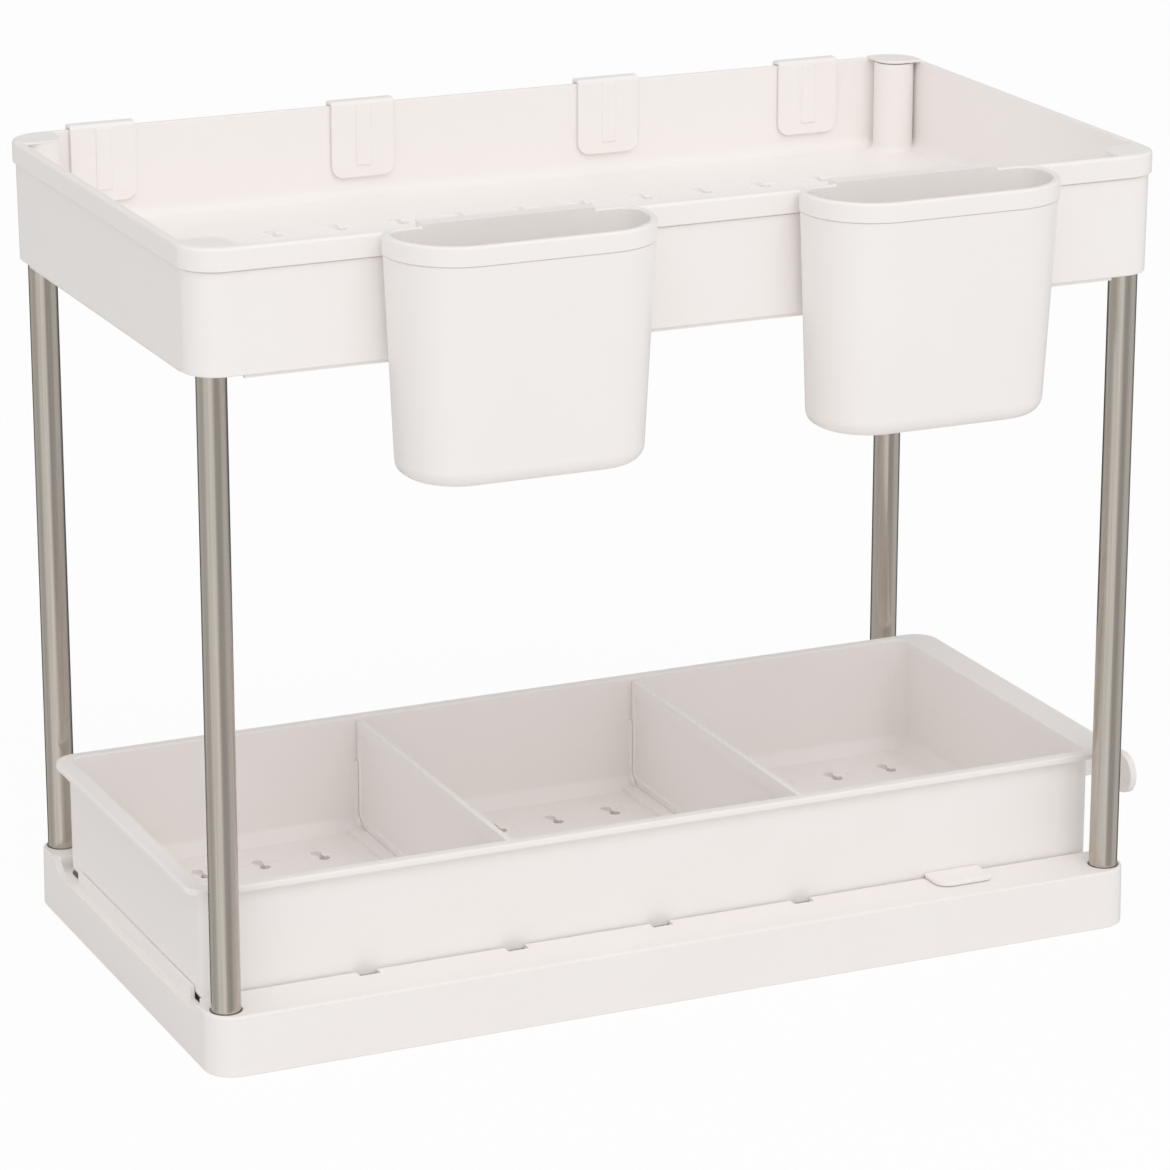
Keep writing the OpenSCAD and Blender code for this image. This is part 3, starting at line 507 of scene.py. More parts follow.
def upper_tray():
    """Skin from the underside of the floor, round the skirt, band and rim, down to the top of the floor."""
    outer_x = TRAY_HIGH.x - BAND_OUT
    outer_y = TRAY_HIGH.y - BAND_OUT
    plan = (-outer_x, outer_x, -outer_y, outer_y, TRAY_CORNER, TRAY_CORNER)
    top = TRAY_HIGH.z
    band = top - BAND_HEIGHT
    under = TRAY_FLOOR - WALL
    foot = TRAY_FOOT
    path = round_edge(-WALL - FOOT_EDGE, under - FOOT_EDGE, FOOT_EDGE, 90, 0, 3)
    path += round_edge(-WALL + foot, TRAY_EDGE + foot, foot, 180, 270, 3)
    path += round_edge(-TRAY_DRAFT / 2 - foot, TRAY_EDGE + foot, foot, 270, 360, 3)
    path += [(0, band - BAND_SEAM), (-BAND_SEAM, band - BAND_SEAM), (-BAND_SEAM, band)]
    path += round_edge(BAND_OUT - BAND_FOOT, band + BAND_FOOT, BAND_FOOT, -90, 0, 4)
    path += round_edge(BAND_OUT - RIM_OUTER, top - RIM_OUTER, RIM_OUTER, 0, 90, 6)
    path += round_edge(-WALL + RIM_INNER, top - RIM_INNER, RIM_INNER, 90, 180, 4)
    path += round_edge(-WALL - TRAY_FILLET, TRAY_FLOOR + TRAY_FILLET, TRAY_FILLET, 0, -90, 6)
    bm = bmesh.new()
    skin(bm, [(grown(plan, out), up) for out, up in path], 10)
    # corner columns with a flared foot, kept inside of the wall
    columns = bmesh.new()
    flare = round_edge(COLUMN_RADIUS + COLUMN_FLARE, TRAY_FLOOR + COLUMN_FLARE, COLUMN_FLARE, -90, -180, 5)
    edge = round_edge(COLUMN_RADIUS - FOOT_EDGE, COLUMN_TOP - FOOT_EDGE, FOOT_EDGE, 0, 90, 3)
    profile = [(0, TRAY_EDGE), (COLUMN_RADIUS, TRAY_EDGE), (COLUMN_RADIUS, under)]
    profile += [(COLUMN_RADIUS + COLUMN_FLARE, under + WALL / 2)] + flare + edge + [(0, COLUMN_TOP)]
    for place in POLE_PLACES:
        turned(columns, place, profile)
    inside = bmesh.new()
    skin(inside, [(grown(plan, -WALL / 2), TRAY_EDGE - OVERRUN), (grown(plan, -WALL / 2), top + OVERRUN)], 10)
    columns = combined(columns, inside, "INTERSECT")
    bm = combined(bm, columns, "UNION")
    # ribs under the floor: a frame inside of the skirt, and one cross rib at each third
    reach_x = POLE_X - COLUMN_RADIUS - RIB
    reach_y = POLE_Y - COLUMN_RADIUS - RIB
    ribs_long = bmesh.new()
    ribs_cross = bmesh.new()
    for s in (-1, 1):
        ys = sorted((s * (outer_y - WALL + RIB / 4), s * (outer_y - WALL - RIB)))
        add_box(ribs_long, (-reach_x, ys[0], TRAY_EDGE - RIB_REACH), (reach_x, ys[1], under + WALL / 2))
        xs = sorted((s * (outer_x - WALL + RIB / 4), s * (outer_x - WALL - RIB)))
        add_box(ribs_long, (xs[0], -reach_y, TRAY_EDGE - RIB_REACH), (xs[1], reach_y, under + WALL / 2))
        add_box(ribs_cross, (s * outer_x / 3 - RIB / 2, -outer_y + WALL / 2, TRAY_EDGE + RIB_REACH),
                (s * outer_x / 3 + RIB / 2, outer_y - WALL / 2, under + WALL / 3))
    bm = combined(bm, ribs_long, "UNION")
    bm = combined(bm, ribs_cross, "UNION")
    # bores for the poles and recesses for the pegs of the caps
    bores = bmesh.new()
    recesses = bmesh.new()
    for place in POLE_PLACES:
        add_cylinder(bores, place, POLE_RADIUS + POLE_FIT, TRAY_EDGE - OVERRUN, POLE_HIGH.z + POLE_FIT)
        add_cylinder(recesses, place, PEG_RADIUS + POLE_FIT, COLUMN_TOP - PEG_HEIGHT, COLUMN_TOP + OVERRUN)
    bm = combined(bm, bores, "DIFFERENCE")
    bm = combined(bm, recesses, "DIFFERENCE")
    centres = [((i - (HOLE_COLUMNS - 1) / 2) * HOLE_PITCH[0], (j - (HOLE_ROWS - 1) / 2) * HOLE_PITCH[1])
               for i in range(HOLE_COLUMNS) for j in range(HOLE_ROWS)]
    for tool in drain_tools(centres, TRAY_FLOOR, WALL):
        bm = combined(bm, tool, "DIFFERENCE")
    soften(bm, TRAY_SOFT)
    return bm


make_piece("upper_tray_moulding", upper_tray(), "frame", "upper_tray", white_plastic)


# Corner caps
# Four flat leaf-shaped covers of the same plastic, which close the tops of the columns. A peg under
# each is pressed into its column, and its edge laps a little over the rim.
CAP_THICK = 1.1 * MM
CAP_FIT = 0.1 * MM
CAP_EDGE = 0.2 * MM
CAP_LAP = 1.1 * MM
CAP_LIFT = {"cap_rear_right": 0.8 * MM}
CAP_ROUND_SHARE = 0.3


def corner_cap(side_x, side_y, lift, low, high):
    """Round leaf towards the tray's inside, with the tray's own corner on the outside, and its peg."""
    centre = (side_x * POLE_X, side_y * POLE_Y)
    top = TRAY_HIGH.z + CAP_FIT + lift
    near = COLUMN_RADIUS + CAP_FIT
    reach_x = (high.x if side_x > 0 else -low.x) - POLE_X + CAP_LAP
    reach_y = (high.y if side_y > 0 else -low.y) - POLE_Y + CAP_LAP
    corner = TRAY_CORNER - WALL + CAP_LAP
    leaf = bmesh.new()
    steps = ((-CAP_EDGE, top - CAP_THICK), (0, top - CAP_THICK + CAP_EDGE), (0, top - CAP_EDGE),
             (-CAP_EDGE * CAP_ROUND_SHARE, top - CAP_EDGE * CAP_ROUND_SHARE), (-CAP_EDGE, top))
    big = 4 * near
    skin(leaf, [((-near - out, big, -near - out, big, near + out, near + out), up) for out, up in steps], 12)
    # a second outline follows the tray's corner, which leaves a pointed tip along each wall
    trim = bmesh.new()
    outlines = [((-big, reach_x + out, -big, reach_y + out, corner, corner + out), up) for out, up in steps]
    skin(trim, outlines, 12)
    peg = bmesh.new()
    add_cylinder(peg, (0, 0), PEG_RADIUS, COLUMN_TOP - PEG_HEIGHT + CAP_FIT, top - CAP_THICK / 2)
    leaf = combined(leaf, trim, "INTERSECT")
    leaf = combined(leaf, peg, "UNION")
    place = Matrix.Translation((*centre, 0)) @ Matrix.Diagonal((side_x, side_y, 1, 1))
    bmesh.ops.transform(leaf, matrix=place, verts=leaf.verts)
    return leaf


for name, side_x, side_y in (("cap_front_left", -1, -1), ("cap_front_right", 1, -1),
                             ("cap_rear_left", -1, 1), ("cap_rear_right", 1, 1)):
    # one cap isn't pressed in all the way
    cover = corner_cap(side_x, side_y, CAP_LIFT.get(name, 0), *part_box(name))
    make_piece(name + "_cover", cover, "frame", name, white_plastic)


# Drawer
# A shallow tub of the same plastic with a flange round its rim, ribs up its long walls and plinths over
# its floor that hold two dividers, and three rows of drain holes. It slides on the runners of the base.
DRAWER_LOW, DRAWER_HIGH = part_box("drawer")
DRAWER_END_GAP = 0.1 * MM
DRAWER_SIDE_GAP = 1 * MM
DRAWER_X = -WELL_LEFT - DRAWER_END_GAP
DRAWER_Y = WELL_Y - DRAWER_SIDE_GAP
DRAWER_CORNER = 7 * MM
DRAWER_CHAMFER = 5.2 * MM
DRAWER_FLOOR = DRAWER_LOW.z + WALL
FLANGE = 2.6 * MM
FLANGE_EDGE = 0.9 * MM
FLANGE_SEAM = 0.45 * MM
DIVIDER_THICK = 2.6 * MM
DIVIDER_GAP = 0.15 * MM
GUIDE_OUT = 1.8 * MM
GUIDE_WIDTH = 1.6 * MM
GUIDE_TOP = DRAWER_HIGH.z - 19 * MM
PLINTH = (5.5 * MM, 2 * MM)
PLINTH_EDGE = 0.5 * MM
STOP_RIB = (2 * MM, 0.7 * MM)
BAY_COLUMNS = 4
BAY_ROWS = 3
BAY_PITCH = (26.2 * MM, 57.5 * MM)
BAY_SPACING = 132.5 * MM
HOLE_SHIFT = -1.6 * MM
DRAWER_SOFT = 0.3 * MM


def divider_middle(node):
    """Place of a divider along the drawer."""
    low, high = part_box(node)
    return (low.x + high.x) / 2


def drawer_tub():
    """Skin up the outside, round the flange and down the inside to the floor."""
    top = DRAWER_HIGH.z
    bottom = DRAWER_LOW.z
    cut = DRAWER_CHAMFER
    walls = (-DRAWER_X, DRAWER_X, -DRAWER_Y, DRAWER_Y, DRAWER_CORNER, DRAWER_CORNER)
    flange_corner = DRAWER_CORNER + DRAWER_HIGH.y - DRAWER_Y
    flange = (DRAWER_LOW.x, DRAWER_HIGH.x, DRAWER_LOW.y, DRAWER_HIGH.y, flange_corner, flange_corner)
    soft = WALL / 2
    outside = [(-cut - soft, bottom), (-cut + soft / 2, bottom + soft / 4)]
    outside += [(-soft / 4, bottom + cut - soft / 2), (0, bottom + cut + soft)]
    outside += [(0, top - FLANGE - 2 * FLANGE_SEAM), (-FLANGE_SEAM, top - FLANGE - FLANGE_SEAM)]
    levels = []
    for out, up in outside:
        level = grown(walls, out)
        # the lowest outline is drawn in by more than the chamfer, so its corners keep a radius of their own
        levels.append((level if out > -cut else level[:4] + (WALL, WALL), up))
    levels.append((grown(walls, -FLANGE_SEAM), top - FLANGE))
    edge = round_edge(-FLANGE_EDGE / 4, top - FLANGE + FLANGE_EDGE / 4, FLANGE_EDGE / 4, -90, 0, 2)
    edge += round_edge(-FLANGE_EDGE, top - FLANGE_EDGE, FLANGE_EDGE, 0, 90, 4)
    levels += [(grown(flange, out), up) for out, up in edge]
    inside = round_edge(-WALL + FLANGE_EDGE, top - FLANGE_EDGE, FLANGE_EDGE, 90, 180, 4)
    inside += [(-WALL, DRAWER_FLOOR + cut + soft), (-WALL - soft / 4, DRAWER_FLOOR + cut - soft / 2)]
    inside += [(-WALL - cut + soft / 2, DRAWER_FLOOR + soft / 4), (-WALL - cut - soft, DRAWER_FLOOR)]
    for out, up in inside:
        x0, x1, y0, y1, front, rear = grown(walls, out)
        levels.append(((x0, x1, y0, y1, max(front, WALL), max(rear, WALL)), up))
    bm = bmesh.new()
    skin(bm, levels, 8)
    # guides for the dividers, up the long walls and across the floor
    guides = bmesh.new()
    plinths = bmesh.new()
    inner_y = DRAWER_Y - WALL
    half = DIVIDER_THICK / 2 + DIVIDER_GAP
    for node in ("divider_left", "divider_right"):
        x = divider_middle(node)
        for sx in (-1, 1):
            x0 = x + half if sx > 0 else x - half - GUIDE_WIDTH
            for sy in (-1, 1):
                outline = [(inner_y + WALL / 2, GUIDE_TOP), (inner_y - GUIDE_OUT / 2, GUIDE_TOP),
                           (inner_y - GUIDE_OUT, GUIDE_TOP - GUIDE_OUT),
                           (inner_y - GUIDE_OUT, DRAWER_FLOOR + cut + GUIDE_OUT),
                           (inner_y - cut - 2 * GUIDE_OUT, DRAWER_FLOOR),
                           (inner_y - cut - GUIDE_OUT, DRAWER_FLOOR - WALL / 4),
                           (inner_y - cut + WALL / 2, DRAWER_FLOOR - WALL / 4),
                           (inner_y + WALL / 2, DRAWER_FLOOR + cut)]
                drawn_along_x(guides, x0, x0 + GUIDE_WIDTH, [(sy * y, z) for y, z in outline])
            profile = [(half, DRAWER_FLOOR - WALL / 3), (half + PLINTH[0], DRAWER_FLOOR - WALL / 3)]
            profile += round_edge(half + PLINTH[0] - PLINTH_EDGE, DRAWER_FLOOR + PLINTH[1] - PLINTH_EDGE,
                                  PLINTH_EDGE, 0, 90, 5)
            profile += [(half, DRAWER_FLOOR + PLINTH[1])]
            front_end = [(x + sx * out, -inner_y + cut, up) for out, up in profile]
            drawn(plinths, front_end, (0, 2 * (inner_y - cut), 0))
    for s in (-1, 1):
        ys = sorted((s * (DRAWER_Y - WALL / 4), s * (DRAWER_Y + STOP_RIB[1])))
        add_box(guides, (-DRAWER_X + DRAWER_CORNER, ys[0], bottom + cut + WALL / 4),
                (-DRAWER_X + DRAWER_CORNER + STOP_RIB[0], ys[1], top - FLANGE + WALL / 4))
    bm = combined(bm, guides, "UNION")
    bm = combined(bm, plinths, "UNION")
    centres = [(b * BAY_SPACING + (i - (BAY_COLUMNS - 1) / 2) * BAY_PITCH[0],
                HOLE_SHIFT + (j - (BAY_ROWS - 1) / 2) * BAY_PITCH[1])
               for b in (-1, 0, 1) for i in range(BAY_COLUMNS) for j in range(BAY_ROWS)]
    for tool in drain_tools(centres, DRAWER_FLOOR, WALL):
        bm = combined(bm, tool, "DIFFERENCE")
    soften(bm, DRAWER_SOFT)
    return bm


make_piece("drawer_tub", drawer_tub(), "drawer", "drawer", white_plastic)


# Dividers
# Two flat plates of the same plastic, thinner within a frame along their edge. They stand between the
# guides of the drawer and lift out.
FIELD_SIDE = 2.4 * MM
FIELD_TOP = 6.7 * MM
FIELD_FOOT = 4.4 * MM
FIELD_STEP = (0.5 * MM, 0.8 * MM)
DIVIDER_CORNER = 2 * MM
DIVIDER_SOFT = 0.2 * MM


def divider_plate(low, high):
    """Plate with cut lower corners and a recessed field on both faces."""
    cut = DRAWER_CHAMFER
    outline = [(low.y + cut, low.z), (high.y - cut, low.z), (high.y, low.z + cut), (high.y, high.z),
               (low.y, high.z), (low.y, low.z + cut)]
    bm = bmesh.new()
    drawn_along_x(bm, low.x, high.x, outline)
    bmesh.ops.recalc_face_normals(bm, faces=bm.faces)
    broad = [f for f in bm.faces if abs(f.normal.x) > 0.9]
    rims = [e for e in bm.edges if not any(f in broad for f in e.link_faces)]
    bmesh.ops.inset_individual(bm, faces=broad, thickness=FIELD_SIDE, depth=0, use_even_offset=True)
    # the frame is wider along the top and the foot than up the sides
    for vert in {v for face in broad for v in face.verts}:
        if vert.co.z > high.z - 2 * FIELD_SIDE:
            vert.co.z = high.z - FIELD_TOP
        elif vert.co.z < low.z + cut / 2:
            vert.co.z = low.z + FIELD_FOOT
    bmesh.ops.inset_individual(bm, faces=broad, thickness=FIELD_STEP[0], depth=-FIELD_STEP[1],
                               use_even_offset=True)
    bmesh.ops.bevel(bm, geom=rims, offset=DIVIDER_CORNER, offset_type="OFFSET", segments=4, profile=0.5,
                    affect="EDGES", material=-1)
    soften(bm, DIVIDER_SOFT, sharper_than=60)
    return bm


for name in ("divider_left", "divider_right"):
    make_piece(name + "_plate", divider_plate(*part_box(name)), name, name, white_plastic)


# Drawer pull
# A flat grip with round ends on two short arms, moulded in one in the same plastic. Its feet sit on the
# end of the drawer, with room for fingers behind the grip.
PULL_LOW, PULL_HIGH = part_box("drawer_pull")
GRIP_THICK = 3 * MM
ARM_PLACE = 45 * MM
ARM_THICK = 4 * MM
ARM_FOOT = (2 * MM, 18 * MM)
GRIP_SOFT = 0.9 * MM
ARM_SOFT = 0.8 * MM
ARM_FOOT_SOFT = 0.6 * MM


def pull_handle():
    """Grip, arms and feet with soft edges."""
    height = PULL_HIGH.z - PULL_LOW.z
    middle = (PULL_HIGH.z + PULL_LOW.z) / 2
    bm = bmesh.new()
    end = height / 2 - SMALL_GAP
    plan = (-height / 2, height / 2, PULL_LOW.y, PULL_HIGH.y, end, end)
    skin(bm, [(plan, 0), (plan, GRIP_THICK)], 12)
    # drawn flat, then stood on its long edge
    stand = Matrix.Translation((PULL_HIGH.x - GRIP_THICK, 0, middle)) @ Matrix.Rotation(math.pi / 2, 4, "Y")
    bmesh.ops.transform(bm, matrix=stand, verts=bm.verts)
    soften(bm, GRIP_SOFT, segments=3)
    arms = bmesh.new()
    feet = bmesh.new()
    for s in (-1, 1):
        y = s * ARM_PLACE
        add_box(arms, (PULL_LOW.x, y - ARM_THICK / 2, middle - height / 3),
                (PULL_HIGH.x - GRIP_THICK / 2, y + ARM_THICK / 2, middle + height / 3))
        add_box(feet, (PULL_LOW.x, y - ARM_FOOT[1] / 2, PULL_LOW.z),
                (PULL_LOW.x + ARM_FOOT[0], y + ARM_FOOT[1] / 2, PULL_HIGH.z))
    soften(arms, ARM_SOFT, segments=3)
    soften(feet, ARM_FOOT_SOFT, segments=3)
    # the arms end inside of the grip and of the feet
    for part in (arms, feet):
        mesh = bpy.data.meshes.new("shape")
        part.to_mesh(mesh)
        part.free()
        bm.from_mesh(mesh)
        bpy.data.meshes.remove(mesh)
    return bm


make_piece("pull_grip", pull_handle(), "drawer", "drawer_pull", white_plastic)


# Drawer stop
# A small plate of the same plastic on the front ledge, moulded with a stem that clips into the last
# notch. It keeps the drawer from sliding out too far.
STOP_LOW, STOP_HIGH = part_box("drawer_stop")
STOP_THICK = 1.8 * MM
STOP_SLIT = 0.3 * MM
STOP_CORNERS = (6 * MM, 3 * MM)
STOP_FIT = 0.15 * MM
STOP_SOFT = 0.5 * MM


def stop_plate():
    """Plate with two round outer corners, and its stem."""
    bm = bmesh.new()
    underside = BASE_HIGH.z + STOP_SLIT
    plan = ((STOP_LOW.x, STOP_LOW.y), (STOP_HIGH.x, STOP_LOW.y), (STOP_HIGH.x, STOP_HIGH.y),
            (STOP_LOW.x, STOP_HIGH.y))
    bm.faces.new([bm.verts.new((x, y, underside)) for x, y in plan])
    for x, radius in ((STOP_LOW.x, STOP_CORNERS[0]), (STOP_HIGH.x, STOP_CORNERS[1])):
        corner = [v for v in bm.verts if (v.co - Vector((x, STOP_LOW.y, underside))).length < SMALL_GAP]
        bmesh.ops.bevel(bm, geom=corner, offset=radius, offset_type="OFFSET", segments=8, profile=0.5,
                        affect="VERTICES", material=-1)
    made = bmesh.ops.extrude_face_region(bm, geom=list(bm.faces))["geom"]
    raised = [v for v in made if isinstance(v, bmesh.types.BMVert)]
    bmesh.ops.translate(bm, verts=raised, vec=(0, 0, STOP_THICK))
    stem = bmesh.new()
    x = BASE_HIGH.x - NOTCH_FROM_END
    add_box(stem, (x - NOTCH_SIZE[0] / 2 + STOP_FIT, -WELL_Y - NOTCH_SIZE[1] + STOP_FIT, STOP_LOW.z),
            (x + NOTCH_SIZE[0] / 2 - STOP_FIT, -WELL_Y - STOP_FIT, underside + STOP_THICK / 2))
    bm = combined(bm, stem, "UNION")
    soften(bm, STOP_SOFT, segments=3)
    return bm


make_piece("stop_plate", stop_plate(), "drawer_stop", "drawer_stop", white_plastic)


# Hanging cups
# Two deep cups of the same plastic, flat at the back and round in front, with a banded rim. A lip at the
# back hangs each one over the front rim of the tray.
CUP_WALL = 2 * MM
CUP_TAPER = 4.15 * MM
CUP_CORNERS = (27 * MM, 9 * MM)
CUP_FOOT = 6.5 * MM
CUP_FILLET = 5 * MM
CUP_BAND = (7.4 * MM, 0.45 * MM)
CUP_RISE = 1 * MM
CUP_RIM = (1.1 * MM, 0.8 * MM)
CUP_SEAM = 0.35 * MM
CUP_SEAM_EDGE = 0.2 * MM
LIP_WIDTH = 69 * MM
STRIP = 1.6 * MM
HANG_GAP = 0.3 * MM
LIP_DROP = 9 * MM
CUP_BACK_STEP = 1 * MM
CUP_HEEL_SHARE = 0.3
CUP_SOFT = 0.3 * MM


def cup_level(middle, width, depth, rear, inset, back):
    """Outline of a cup, drawn in by one amount at the front and sides and by another at its flat back."""
    half = width / 2 - inset
    return (middle - half, middle + half, rear - depth + inset, rear - back,
            CUP_CORNERS[0] - inset, max(CUP_CORNERS[1] - inset / 2, WALL))


def hanging_cup(low, high):
    """Skin up the outside, round the rim and down the inside, and the lip."""
    middle = (low.x + high.x) / 2
    width = high.x - low.x
    rear = TRAY_LOW.y - HANG_GAP
    depth = rear - low.y
    top = TRAY_HIGH.z + CUP_RISE
    bottom = low.z
    band = top - CUP_BAND[0]
    foot = CUP_BAND[1] + CUP_TAPER
    path = [(foot - out, back, up) for out, up, back in
            [(o, u, (CUP_FOOT * CUP_HEEL_SHARE) * (1 - i / 6)) for i, (o, u) in
             enumerate(round_edge(-CUP_FOOT, bottom + CUP_FOOT, CUP_FOOT, -90, 0, 6))]]
    path += [(CUP_BAND[1], 0, band - CUP_SEAM), (CUP_BAND[1] + CUP_SEAM, 0, band - CUP_SEAM)]
    path += [(CUP_BAND[1] + CUP_SEAM, 0, band)]
    path += [(-out, 0, up) for out, up in
             round_edge(-CUP_SEAM_EDGE, band + CUP_SEAM_EDGE, CUP_SEAM_EDGE, -90, 0, 3)]
    path += [(-out, 0, up) for out, up in
             round_edge(-CUP_RIM[0], top - CUP_RIM[0], CUP_RIM[0], 0, 90, 5)]
    inner = CUP_BACK_STEP + CUP_WALL
    path += [(-out, -out - CUP_BACK_STEP, up) for out, up in
             round_edge(-inner + CUP_RIM[1], top - CUP_RIM[1], CUP_RIM[1], 90, 180, 4)]
    path += [(foot + CUP_WALL + CUP_FILLET - CUP_FILLET * math.cos(a),
              CUP_WALL + CUP_FILLET - CUP_FILLET * math.cos(a),
              bottom + CUP_WALL + CUP_FILLET - CUP_FILLET * math.sin(a))
             for a in [math.radians(90 * i / 5) for i in range(6)]]
    bm = bmesh.new()
    skin(bm, [(cup_level(middle, width, depth, rear, inset, back), up) for inset, back, up in path], 12)
    lip = bmesh.new()
    inner_y = TRAY_LOW.y + BAND_OUT + WALL + HANG_GAP
    under = TRAY_HIGH.z + HANG_GAP
    outline = [(rear - CUP_WALL, top - CUP_BAND[0] / 2), (rear - CUP_WALL, under + STRIP),
               (inner_y + STRIP, under + STRIP), (inner_y + STRIP, TRAY_HIGH.z - LIP_DROP),
               (inner_y, TRAY_HIGH.z - LIP_DROP), (inner_y, under), (rear - HANG_GAP / 2, under),
               (rear - HANG_GAP / 2, top - CUP_BAND[0] / 2)]
    drawn_along_x(lip, middle - LIP_WIDTH / 2, middle + LIP_WIDTH / 2, outline)
    bm = combined(bm, lip, "UNION")
    soften(bm, CUP_SOFT, sharper_than=55)
    return bm


for name in ("cup_left", "cup_right"):
    make_piece(name + "_shell", hanging_cup(*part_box(name)), name, name, white_plastic)


# Hooks
# Four bent strips of the same plastic, clipped over the rear rim. A raised band stiffens the plate inside
# of the tray, and the outer leg ends in an upturned arm.
HOOK_INNER_DROP = 30 * MM
HOOK_OUTER_DROP = 34 * MM
HOOK_BEND = 6 * MM
HOOK_TIP = 16 * MM
HOOK_ARM = 14 * MM
HOOK_CORNER = 5 * MM
HOOK_BAND = (6.4 * MM, 0.7 * MM)
HOOK_SOFT = 0.45 * MM


def rim_hook(low, high):
    """Clip over the rim, the arm below its outer leg, and the raised band."""
    middle = (low.x + high.x) / 2
    inner_y = TRAY_HIGH.y - BAND_OUT - WALL - HANG_GAP
    outer_y = TRAY_HIGH.y + HANG_GAP
    under = TRAY_HIGH.z + HANG_GAP
    foot = TRAY_HIGH.z - HOOK_INNER_DROP
    bend_z = TRAY_HIGH.z - HOOK_OUTER_DROP
    corner = STRIP + HANG_GAP
    over = [(inner_y - STRIP + corner - o, u) for o, u in
            round_edge(0, under + STRIP - corner, corner, 0, 90, 4)]
    over += [(outer_y + STRIP - corner + o, u) for o, u in
             reversed(round_edge(0, under + STRIP - corner, corner, 0, 90, 4))]
    clip = bmesh.new()
    outline = [(inner_y - STRIP, foot)] + over + [(outer_y + STRIP, bend_z), (outer_y, bend_z),
                                                  (outer_y, under), (inner_y, under), (inner_y, foot)]
    drawn_along_x(clip, low.x, high.x, outline)
    feet = [e for e in clip.edges if all(abs(v.co.z - foot) < SMALL_GAP for v in e.verts)
            and abs(e.verts[0].co.y - e.verts[1].co.y) > SMALL_GAP]
    bmesh.ops.bevel(clip, geom=feet, offset=HOOK_CORNER, offset_type="OFFSET", segments=8, profile=0.5,
                    affect="EDGES", material=-1)
    arm = bmesh.new()
    centre_y = outer_y + STRIP + HOOK_BEND
    outer = round_edge(0, 0, HOOK_BEND + STRIP, 180, 360, 12)
    inner = round_edge(0, 0, HOOK_BEND, 360, 180, 12)
    tip = round_edge(HOOK_BEND + STRIP / 2, HOOK_TIP - HOOK_BEND - STRIP, STRIP / 2, 0, 180, 6)
    path = [(-HOOK_BEND - STRIP, STRIP)] + outer + tip + inner + [(-HOOK_BEND, STRIP)]
    arm_outline = [(centre_y + o, bend_z + u) for o, u in path]
    drawn_along_x(arm, middle - HOOK_ARM / 2, middle + HOOK_ARM / 2, arm_outline)
    band = bmesh.new()
    add_box(band, (middle - HOOK_BAND[0] / 2, inner_y - STRIP - HOOK_BAND[1], foot + HOOK_CORNER),
            (middle + HOOK_BAND[0] / 2, inner_y - STRIP / 2, TRAY_HIGH.z))
    clip = combined(clip, arm, "UNION")
    clip = combined(clip, band, "UNION")
    soften(clip, HOOK_SOFT, segments=3)
    return clip


for name in ("hook_1", "hook_2", "hook_3", "hook_4"):
    make_piece(name + "_strip", rim_hook(*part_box(name)), name, name, white_plastic)


# Studio
# A pale floor and an even white surround, with one large soft light high up in front and a weaker one
# at the front left. The floor is no part of the organizer.
FLOOR_SIZE = 12.0
SURROUND_STRENGTH = 0.733
FLOOR_GLOW = 0.93
FLOOR_COLOUR = "#f4f3f2"
KEY_POWER = 25.5
KEY_PLACE = (0.3, -2.7, 3.1)
SIDE_POWER = 12.0
SIDE_PLACE = (-1.3, -2.0, 3.3)
LIGHT_AIM = (0, 0, 0.15)
LIGHT_SIZE = 2.2
# bearing in degrees to the right of the way to the camera, and whiteness
CARDS = ((-179, 0.2), (-162, 0.05), (-138, 0.05), (-124, 0.7), (-80, 0.55), (-58, 0.65),
         (-48, 1.0), (-28, 0.85), (-18, 1.0), (6, 1.0), (20, 0.5), (56, 0.45),
         (74, 0.7), (114, 0.72), (132, 0.2), (150, 0.05), (179, 0.2))


def studio_floor():
    """Matt white floor that stays white in the view and takes a soft shadow."""
    bm = bmesh.new()
    bmesh.ops.create_grid(bm, x_segments=1, y_segments=1, size=FLOOR_SIZE / 2)
    mesh = bpy.data.meshes.new("studio_floor")
    bm.to_mesh(mesh)
    bm.free()
    floor = bpy.data.objects.new("studio_floor", mesh)
    bpy.context.scene.collection.objects.link(floor)
    floor.visible_glossy = False
    material = bpy.data.materials.new("matt_white_board")
    material.use_nodes = True
    tree = material.node_tree
    tree.nodes.clear()
    board = add_node(tree, "ShaderNodeBsdfDiffuse", Color=linear(FLOOR_COLOUR))
    glow = add_node(tree, "ShaderNodeEmission", Color=(1, 1, 1, 1), Strength=1.0)
    path = add_node(tree, "ShaderNodeLightPath")
    seen = add_node(tree, "ShaderNodeMath", {0: path.outputs["Is Camera Ray"]}, operation="MULTIPLY")
    seen.inputs[1].default_value = FLOOR_GLOW
    both = add_node(tree, "ShaderNodeMixShader")
    tree.links.new(seen.outputs[0], both.inputs[0])
    tree.links.new(board.outputs[0], both.inputs[1])
    tree.links.new(glow.outputs[0], both.inputs[2])
    add_node(tree, "ShaderNodeOutputMaterial", {"Surface": both.outputs[0]})
    mesh.materials.append(material)


def soft_light(name, place, aim, size, power):
    """Square area light that looks at a point."""
    data = bpy.data.lights.new(name, "AREA")
    data.size = size
    data.energy = power
    light = bpy.data.objects.new(name, data)
    light.location = place
    light.rotation_mode = "QUATERNION"
    light.rotation_quaternion = (Vector(aim) - Vector(place)).to_track_quat("-Z", "Y")
    bpy.context.scene.collection.objects.link(light)


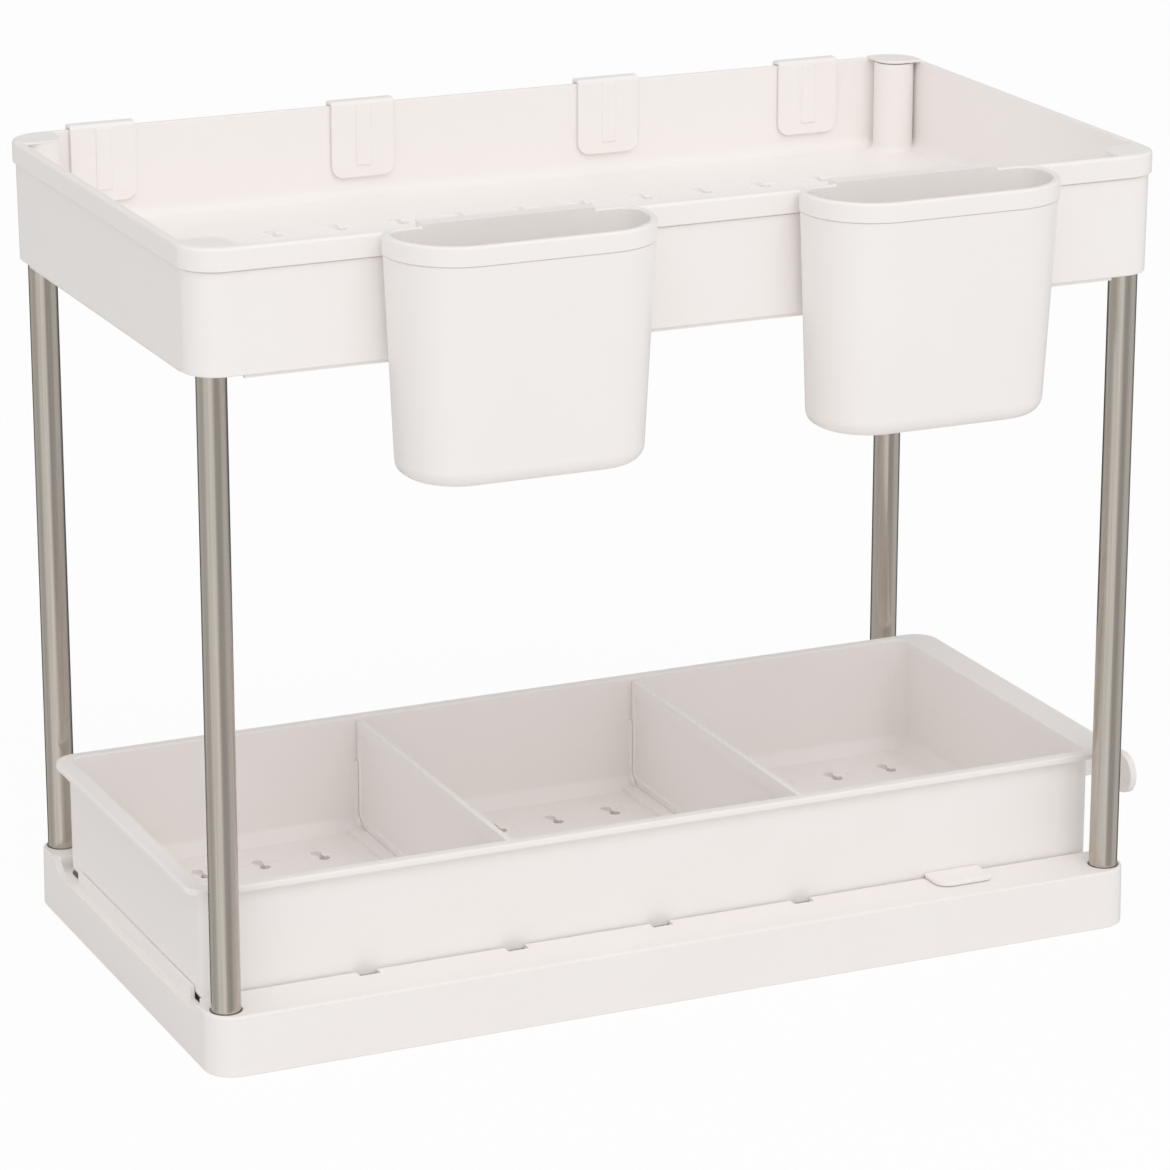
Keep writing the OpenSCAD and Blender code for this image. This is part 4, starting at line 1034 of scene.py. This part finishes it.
studio_floor()
soft_light("key", KEY_PLACE, LIGHT_AIM, LIGHT_SIZE, KEY_POWER)
soft_light("side", SIDE_PLACE, LIGHT_AIM, LIGHT_SIZE, SIDE_POWER)
world = bpy.data.worlds.new("surround")
world.use_nodes = True
tree = world.node_tree
tree.nodes.clear()
path = add_node(tree, "ShaderNodeLightPath")
seen = add_node(tree, "ShaderNodeMath", {0: path.outputs["Is Camera Ray"], 1: path.outputs["Is Glossy Ray"]},
                operation="MAXIMUM")
seen = add_node(tree, "ShaderNodeMath", {0: seen.outputs[0], 1: path.outputs["Is Transmission Ray"]},
                operation="MAXIMUM")
lighting = add_node(tree, "ShaderNodeBackground", Color=(1, 1, 1, 1), Strength=SURROUND_STRENGTH)
# white cards and grey gaps between them stand round the organizer, for the steel to reflect
direction = add_node(tree, "ShaderNodeTexCoord").outputs["Generated"]
ahead = add_node(tree, "ShaderNodeMapping", {"Vector": direction}, Rotation=(0, 0, math.pi / 2 + CAMERA_YAW))
bearing = add_node(tree, "ShaderNodeTexGradient", {"Vector": ahead.outputs["Vector"]}, gradient_type="RADIAL")
cards = add_node(tree, "ShaderNodeValToRGB", {"Fac": bearing.outputs["Fac"]})
ramp = cards.color_ramp.elements
for angle, white in CARDS:
    stop = ramp.new(0.5 + angle / 360)
    stop.color = (white, white, white, 1)
ramp.remove(ramp[-1])
ramp.remove(ramp[0])
card = add_node(tree, "ShaderNodeMath", {0: cards.outputs["Color"], 1: path.outputs["Is Glossy Ray"]},
                operation="MULTIPLY")
rest = add_node(tree, "ShaderNodeMath", {1: path.outputs["Is Glossy Ray"]}, operation="SUBTRACT")
rest.inputs[0].default_value = 1.0
level = add_node(tree, "ShaderNodeMath", {0: card.outputs[0], 1: rest.outputs[0]}, operation="ADD")
backdrop = add_node(tree, "ShaderNodeBackground", {"Strength": level.outputs[0]}, Color=(1, 1, 1, 1))
both = add_node(tree, "ShaderNodeMixShader")
tree.links.new(seen.outputs[0], both.inputs[0])
tree.links.new(lighting.outputs[0], both.inputs[1])
tree.links.new(backdrop.outputs[0], both.inputs[2])
add_node(tree, "ShaderNodeOutputWorld", {"Surface": both.outputs[0]})
bpy.context.scene.world = world
bpy.context.scene.view_settings.view_transform = "Standard"
